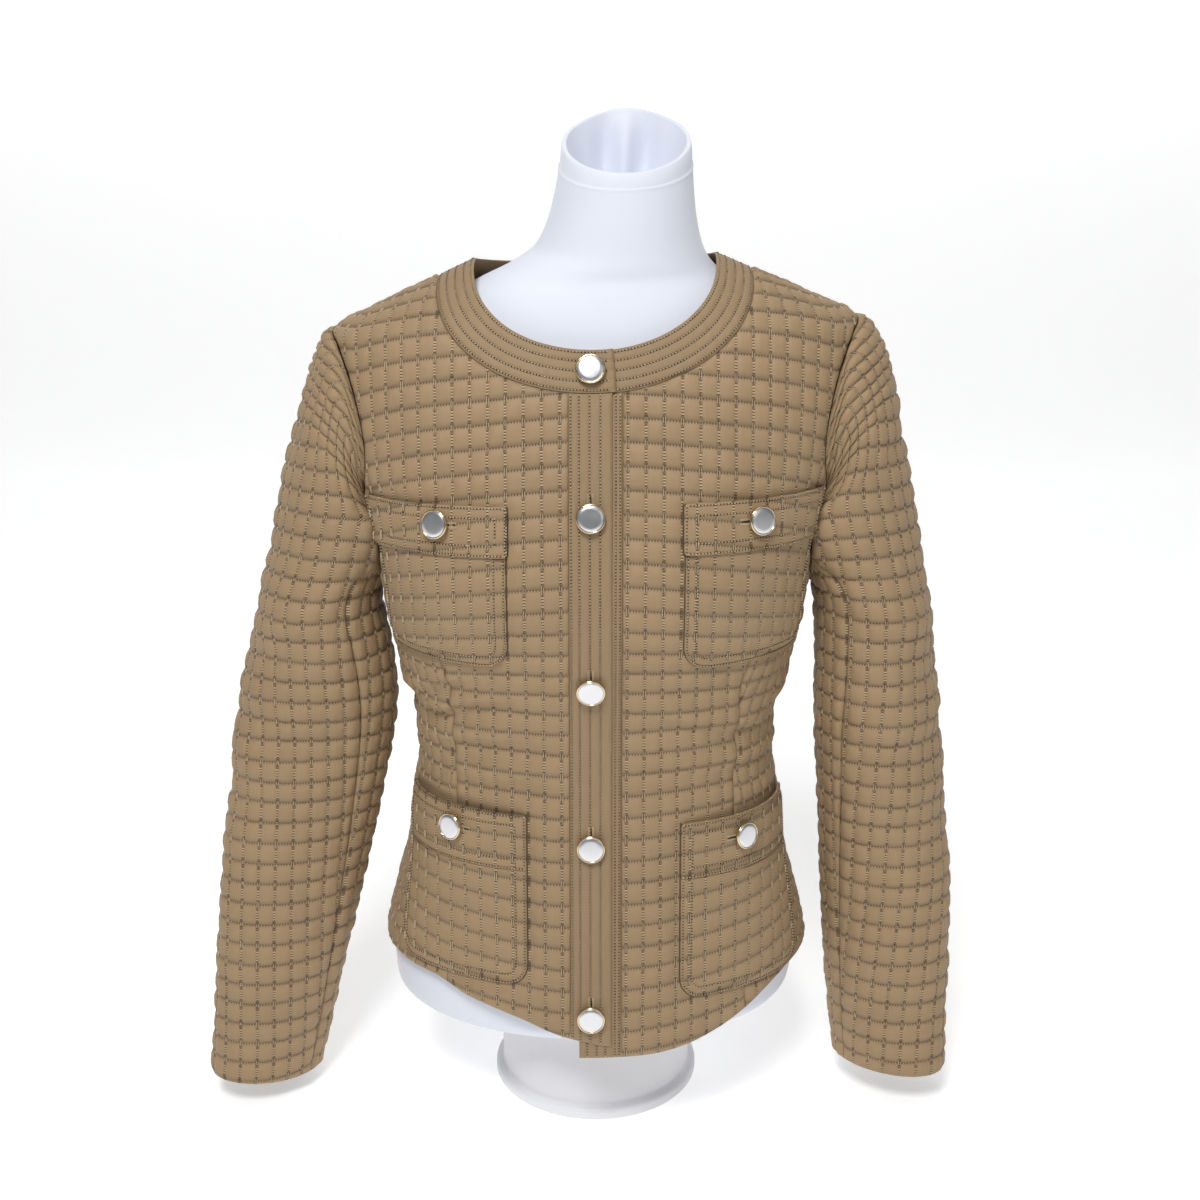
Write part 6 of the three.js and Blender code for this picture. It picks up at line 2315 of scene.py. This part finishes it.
@dataclass
class Buttons:
    """Nine metal buttons with flat faces, and the buttonholes that they hold shut."""

    radius: float = 10.3
    height: float = 3.6
    face: float = 8.9
    shank: float = 2.6
    shank_length: float = 1.4
    sides: int = 56
    front_x: float = -3.0
    front_z: tuple[float, ...] = (589.0, 493.0, 370.0, 246.0, 117.0)

    def turned(self, name: str, profile: Sequence[tuple[float, float]], centre: Array, out: Array, finish: bpy.types.Material) -> bpy.types.Object:
        """Turns a profile round a button's axis.

        Args:
            name: The piece's name.
            profile: Radius and height of each point, from the axis out and back to it.
            centre: The foot of the axis.
            out: The axis.
            finish: The piece's material.

        Returns:
            The piece.
        """
        side = np.cross(out, [0.0, 0.0, 1.0])
        side = side / np.linalg.norm(side)
        up = np.cross(side, out)
        turn = np.arange(self.sides) * 2 * math.pi / self.sides
        ring = side[None] * np.cos(turn)[:, None] + up[None] * np.sin(turn)[:, None]
        radii, heights = np.array(profile, float).T
        radii = np.maximum(radii, 0.01)
        points = centre + radii[:, None, None] * ring[None] + heights[:, None, None] * out
        count = len(profile)
        number = np.arange(count * self.sides).reshape(count, self.sides)
        wrapped = np.roll(number, -1, axis=1)
        faces = np.stack([number[:-1], number[1:], wrapped[1:], wrapped[:-1]], axis=-1).reshape(-1, 4)
        caps = [number[0][[0, k, k + 1, k + 2]] for k in range(1, self.sides - 2, 2)]
        caps += [number[-1][[k + 2, k + 1, k, 0]] for k in range(1, self.sides - 2, 2)]
        faces = np.concatenate([faces, np.array(caps)])
        return make_object(name, points.reshape(-1, 3), faces, finish)

    def place(self, name: str, u: float, z: float, seat: float, finishes: Finishes) -> None:
        """Sets one button on the cloth.

        Args:
            name: The button's node, without its ending.
            u: The distance round from the middle front.
            z: The height.
            seat: How far its foot is from the body's inner face.
            finishes: The scene's materials.
        """
        at = (np.array([u]), np.array([z]))
        out = normals(BODY.at, *at, 1)[0]
        centre = BODY.at(*at)[0] + out * (seat + 0.3)
        low, high, wide = self.shank_length, self.shank_length + self.height, self.radius
        cup = (
            (0.0, 0.0),
            (self.shank, 0.0),
            (self.shank, low),
            (wide - 2.2, low),
            (wide - 0.8, low + 0.25),
            (wide - 0.15, low + 0.9),
            (wide, low + 1.6),
            (wide - 0.02, high - 0.8),
            (wide - 0.22, high - 0.3),
            (wide - 0.65, high - 0.03),
            (wide - 0.95, high),
            (self.face + 0.16, high - 0.12),
            (self.face + 0.1, high - 0.45),
            (0.0, high - 0.55),
        )
        face = (
            (0.0, high - 0.5),
            (self.face, high - 0.5),
            (self.face, high - 0.22),
            (self.face - 0.25, high - 0.02),
            (self.face * 0.7, high + 0.12),
            (self.face * 0.35, high + 0.2),
            (0.0, high + 0.22),
        )
        for ending, profile, finish, slot in (
            ("cup", cup, finishes.rim, "button_rim"),
            ("inlay", face, finishes.face, "button_face"),
        ):
            piece = self.turned(f"{name}_{ending}_turned", profile, centre, out, finish)
            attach(piece, "root")
            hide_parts(f"{name}_{ending}")
            report(piece)

    def buttonhole(self, cut: Cut, middle: tuple[float, float], half: float, level: bool, dressing: Dressing) -> None:
        """Works a buttonhole: a dark slit of painted shadow between two rows of bar stitches.

        Args:
            cut: The piece that it is worked in.
            middle: The slit's middle on the piece.
            half: Half the slit's length.
            level: Whether the slit runs across the cloth.
            dressing: The jacket's finishes and sewing.
        """
        along = np.linspace(-half, half, 15)
        narrow = 0.8 * np.sqrt(np.maximum(0.0, 1.0 - (along / half) ** 2)) + 0.05
        grid = np.array([-1.0, 0.0, 1.0])
        if level:
            u = middle[0] + np.repeat(along[:, None], 3, axis=1)
            z = middle[1] + narrow[:, None] * grid[None]
        else:
            u = middle[0] + narrow[:, None] * grid[None]
            z = middle[1] + np.repeat(along[:, None], 3, axis=1)
        outer, _, out = cut.faces_at(u.ravel(), z.ravel())
        number = np.arange(45).reshape(15, 3)
        faces = np.stack([number[:-1, :-1], number[1:, :-1], number[1:, 1:], number[:-1, 1:]], axis=-1)
        mesh = ClothMesh.closed(outer + 0.12 * out, outer - 0.2 * out, out, faces.reshape(-1, 4), np.zeros((45, 2)))
        name = f"slit_{cut.name}_{int(middle[1])}"
        slit = make_object(name, mesh.points, mesh.faces, dressing.finishes.dark)
        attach(slit, "root")
        report(slit)
        places = np.arange(-half - 0.4, half + 0.41, 0.55)
        for side in (-1.0, 1.0):
            offset = np.full(len(places), side * 1.5)
            pair = (places, offset) if level else (offset, places)
            u, z = middle[0] + pair[0], middle[1] + pair[1]
            points, _, normal = cut.faces_at(u, z)
            step = (0.0, 0.5) if level else (0.5, 0.0)
            ahead, _, _ = cut.faces_at(u + step[0], z + step[1])
            dressing.sewing.bars.add(points + 0.05 * normal, normal, ahead - points)

    def build(self, dressing: Dressing, placket: Cut, heads: dict[str, Cut]) -> None:
        """Sets every button and works every buttonhole.

        Args:
            dressing: The jacket's finishes and sewing.
            placket: The upper band.
            heads: The pockets' flaps and bands.
        """
        for number, z in enumerate(self.front_z, 1):
            seat = TOP_LIFT + BAND_WALL
            self.place(f"button_front_{number}", self.front_x, z, seat, dressing.finishes)
            if number > 1:
                self.buttonhole(placket, (self.front_x, z + 4.6), 11.0, False, dressing)
        for place in POCKETS:
            distance, z, seat = place.button
            s = place.side * distance
            stand = Pockets.lift(place)(np.array([s]), np.array([z]))[0]
            self.place(f"button_{place.name}", s, z, stand + seat, dressing.finishes)
            slit = s - place.side * 4.4
            self.buttonhole(heads[place.name], (slit, z), 9.5, True, dressing)


# Dress form


@dataclass
class DressForm:
    """The limbless form in its jersey, and the plinth that it stands on."""

    sides: int = 104
    square: float = 2.1
    under: float = 79.0
    rounds: int = 8
    rim_rounds: int = 15
    plinth_radius: float = 76.0
    plinth_foot: float = 82.0
    foot_height: float = 10.0
    rings: tuple[tuple[float, ...], ...] = (
        # z, x, half, front, back, mid, slant
        (79, 0, 118, 78, 74, 2, 0),
        (80.5, 0, 138, 94, 90, 2, 0),
        (86, -1, 151, 104, 99, 1, 0),
        (97, -2, 158, 110, 105, 0, 0),
        (120, -1, 160, 112, 108, 0, 0),
        (190, 0, 143, 103, 100, 0, 0),
        (300, 0, 123, 88, 77, 0, 0),
        (400, 0, 145, 103, 90, 0, 0),
        (490, 0, 155, 104, 97, 4, 0),
        (580, 0, 158, 80, 82, 8, 0),
        (604, 0, 148, 68, 69, 8, 0),
        (622, 1, 126, 60, 60, 8, 0),
        (636, 2, 104, 54, 54, 8, 1),
        (646, 5, 87, 50, 51, 8, 3),
        (656, 11, 71, 48, 49, 7, 6),
        (669, 17, 59, 46, 47, 6, 11),
        (695, 20, 51, 44, 45, 3, 20),
        (720, 21.5, 47.5, 42.5, 43, 0, 29),
        (734, 22, 46.5, 42, 42, -1, 35),
        (738.6, 22, 45.3, 40.8, 40.8, -1, 36),
        (738.6, 22, 43.2, 39, 39, -1, 36),
        (734, 22, 41.5, 37.3, 37.3, -1, 35),
        (692, 20, 30, 29, 26, 2, 22),
    )

    def profile(self) -> SimpleNamespace:
        """The rings between the table's rings, evenly along the form's own line.

        Returns:
            Each measure as a column of values.
        """
        table = np.array(self.rings, float)
        steps = np.hypot(np.diff(table[:, 0]), np.diff(table[:, 2]))
        along = np.concatenate([[0.0], np.cumsum(steps)])
        names = ("z", "x", "half", "front", "back", "mid", "slant")
        curves = {name: SmoothCurve(along, table[:, k]) for k, name in enumerate(names)}
        counts = [self.rim_rounds if 15 < k < 18 or k > 20 else self.rounds for k in range(len(steps))]
        parts = [np.linspace(a, b, n, endpoint=False) for a, b, n in zip(along[:-1], along[1:], counts)]
        way = np.append(np.concatenate(parts), along[-1])[:, None]
        made = SimpleNamespace(**{name: curve(way) for name, curve in curves.items()})
        made.square = self.square
        made.inside = smooth((way - along[-4]) / (along[-1] - along[-4]))
        made.way = way
        made.along = along
        return made

    def build_form(self, finishes: Finishes) -> None:
        """Builds the form as one closed skin.

        Args:
            finishes: The scene's materials.
        """
        turn = (np.arange(self.sides) * 2 * math.pi / self.sides)[None, :]
        ring = self.profile()
        x, y = section(ring, turn)
        z = ring.z + (ring.slant / 2) * ((y - ring.mid) / ring.back)
        hem = np.exp(-(((ring.way - ring.along[17] - 1.5) / 1.3) ** 2))
        above = smooth((ring.way - ring.along[17] - 1.5) / 1.6) * (1.0 - ring.inside)
        swell = 0.4 * hem - 0.55 * above
        length = np.hypot(x, y - ring.mid)
        x = x * (1.0 + swell / length)
        y = ring.mid + (y - ring.mid) * (1.0 + swell / length)
        deep = np.sqrt(ring.inside)
        way = turn - math.pi
        tuck = np.exp(-((way / 0.17) ** 2)) - 0.7 * np.exp(-(((np.abs(way) - 0.44) / 0.2) ** 2))
        y = y - 11.0 * tuck * deep
        z = z + 3.5 * np.exp(-((way / 0.5) ** 2)) * smooth((ring.way - ring.along[17]) / 12.0)
        z = z - 2.5 * np.exp(-((turn - math.pi * 2 * (turn > math.pi)) ** 2)) * smooth((ring.way - ring.along[17]) / 12.0)
        points = leaned(ring.x + x, y, z).reshape(-1, 3)
        count = len(ring.z)
        number = np.arange(count * self.sides).reshape(count, self.sides)
        wrapped = np.roll(number, -1, axis=1)
        faces = np.stack([number[:-1], wrapped[:-1], wrapped[1:], number[1:]], axis=-1).reshape(-1, 4)
        caps = [number[0][[k + 2, k + 1, k, 0]] for k in range(1, self.sides - 2, 2)]
        caps += [number[-1][[0, k, k + 1, k + 2]] for k in range(1, self.sides - 2, 2)]
        faces = np.concatenate([faces, np.array(caps)])
        form = make_object("form_skin", points, faces, finishes.jersey)
        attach(form, "root")
        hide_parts("dress_form")
        report(form)

    def build_plinth(self, finishes: Finishes) -> None:
        """Builds the turned plinth.

        Args:
            finishes: The scene's materials.
        """
        top = self.under - 0.3
        foot, radius, low = self.plinth_foot, self.plinth_radius, self.foot_height
        profile = [(0.0, 0.0), (foot - 3.0, 0.0)]
        profile += [(foot - 3 + 3 * math.sin(a), 3 - 3 * math.cos(a)) for a in np.linspace(0.2, 1.57, 5)]
        profile += [(foot - 3 + 3 * math.cos(a), low - 3 + 3 * math.sin(a)) for a in np.linspace(0.0, 1.57, 5)]
        profile += [(radius + 3 - 3 * math.sin(a), low + 3 - 3 * math.cos(a)) for a in np.linspace(0.3, 1.57, 5)]
        profile += [(radius - 3 + 3 * math.cos(a), top - 3 + 3 * math.sin(a)) for a in np.linspace(0.0, 1.57, 5)]
        profile.append((0.0, top))
        turner = Buttons(sides=96)
        piece = turner.turned("plinth_turned", profile, np.zeros(3), np.array([1e-9, 0.0, 1.0]), finishes.plinth)
        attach(piece, "root")
        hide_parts("plinth")
        report(piece)

    def build(self, finishes: Finishes) -> None:
        """Builds the form and the plinth."""
        self.build_form(finishes)
        self.build_plinth(finishes)


# Studio


@dataclass
class Studio:
    """A pale floor that curves up behind, soft lights and the camera."""

    half_width: float = 8.0
    near: float = -6.0
    far: float = 2.2
    bend: float = 0.8
    wall: float = 3.0

    def floor(self, finishes: Finishes) -> None:
        """Builds the floor and the wall that it runs up into."""
        turn = np.linspace(0.0, math.pi / 2, 16)
        y = np.concatenate([[self.near], self.far + self.bend * np.sin(turn), [self.far + self.bend]])
        z = np.concatenate([[0.0], self.bend - self.bend * np.cos(turn), [self.wall]])
        count = len(y)
        left = np.stack([np.full(count, -self.half_width), y, z], axis=-1)
        right = np.stack([np.full(count, self.half_width), y, z], axis=-1)
        k = np.arange(count - 1)
        faces = np.stack([k, k + count, k + count + 1, k + 1], axis=-1)
        backdrop = make_object("studio_floor", np.concatenate([left, right]) / MM, faces, finishes.floor)

    def light(self, name: str, place: Sequence[float], aim: Sequence[float], size: float, power: float, colour: Sequence[float] = (1, 1, 1)) -> None:
        """Adds one soft square light.

        Args:
            name: The light's name.
            place: Where it is, in metres.
            aim: What it faces, in metres.
            size: How wide it is.
            power: Its watts.
            colour: Its colour.
        """
        lamp = bpy.data.lights.new(name, "AREA")
        lamp.size = size
        lamp.energy = power
        lamp.color = colour
        holder = bpy.data.objects.new(name, lamp)
        way = np.array(aim, float) - np.array(place, float)
        flat = math.hypot(way[0], way[1])
        holder.location = place
        holder.rotation_euler = (math.atan2(flat, -way[2]), 0.0, math.atan2(way[0], -way[1]) + math.pi)
        bpy.context.scene.collection.objects.link(holder)

    def build(self, finishes: Finishes) -> None:
        """Builds the floor, the lights, the surroundings and the camera.

        Args:
            finishes: The scene's materials.
        """
        self.floor(finishes)
        self.light("key_light", (-0.4, -1.7, 2.6), (0.0, 0.0, 0.45), 0.8, 52.0)
        self.light("fill_light", (1.6, -2.0, 1.5), (0.0, 0.0, 0.35), 1.4, 4.0)
        self.light("top_light", (0.0, 0.3, 2.6), (0.0, 0.0, 0.4), 1.6, 12.0)
        world = bpy.data.worlds.new("studio_air")
        world.use_nodes = True
        air = world.node_tree.nodes["Background"]
        air.inputs[0].default_value = opaque(0.97, 0.985, 1.0)
        air.inputs[1].default_value = 0.17
        scene = bpy.context.scene
        scene.world = world
        scene.view_settings.view_transform = "Standard"
        lens = bpy.data.cameras.new("camera")
        lens.lens = CAMERA_LENS
        lens.sensor_width = 36.0
        camera = bpy.data.objects.new("camera", lens)
        camera.location = tuple(c * MM for c in CAMERA_PLACE)
        camera.rotation_euler = (math.radians(90.0 - CAMERA_PITCH), 0.0, 0.0)
        scene.collection.objects.link(camera)
        scene.camera = camera


def main() -> None:
    """Builds the scene piece by piece."""
    logging.basicConfig(level=logging.INFO, format="%(message)s")
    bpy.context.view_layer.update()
    finishes = Finishes.make()
    Studio().build(finishes)
    dressing = Dressing(finishes, Sewing())
    DressForm().build(finishes)
    JacketBody().build(dressing)
    Sleeves().build(dressing)
    placket = Plackets().build(dressing)
    NeckBand().build(dressing)
    pockets = Pockets()
    pockets.build(dressing)
    Buttons().build(dressing, placket, pockets.made)
    dressing.sewing.crossings.build("quilting_stitches", finishes.thread)
    dressing.sewing.rows.build("topstitching", finishes.thread)
    # dark dots of painted shade at the needle holes
    dressing.sewing.holes.build("needle_hole_shades", finishes.dark)
    dressing.sewing.bars.build("buttonhole_stitches", finishes.thread)


if __name__ == "__main__":
    main()
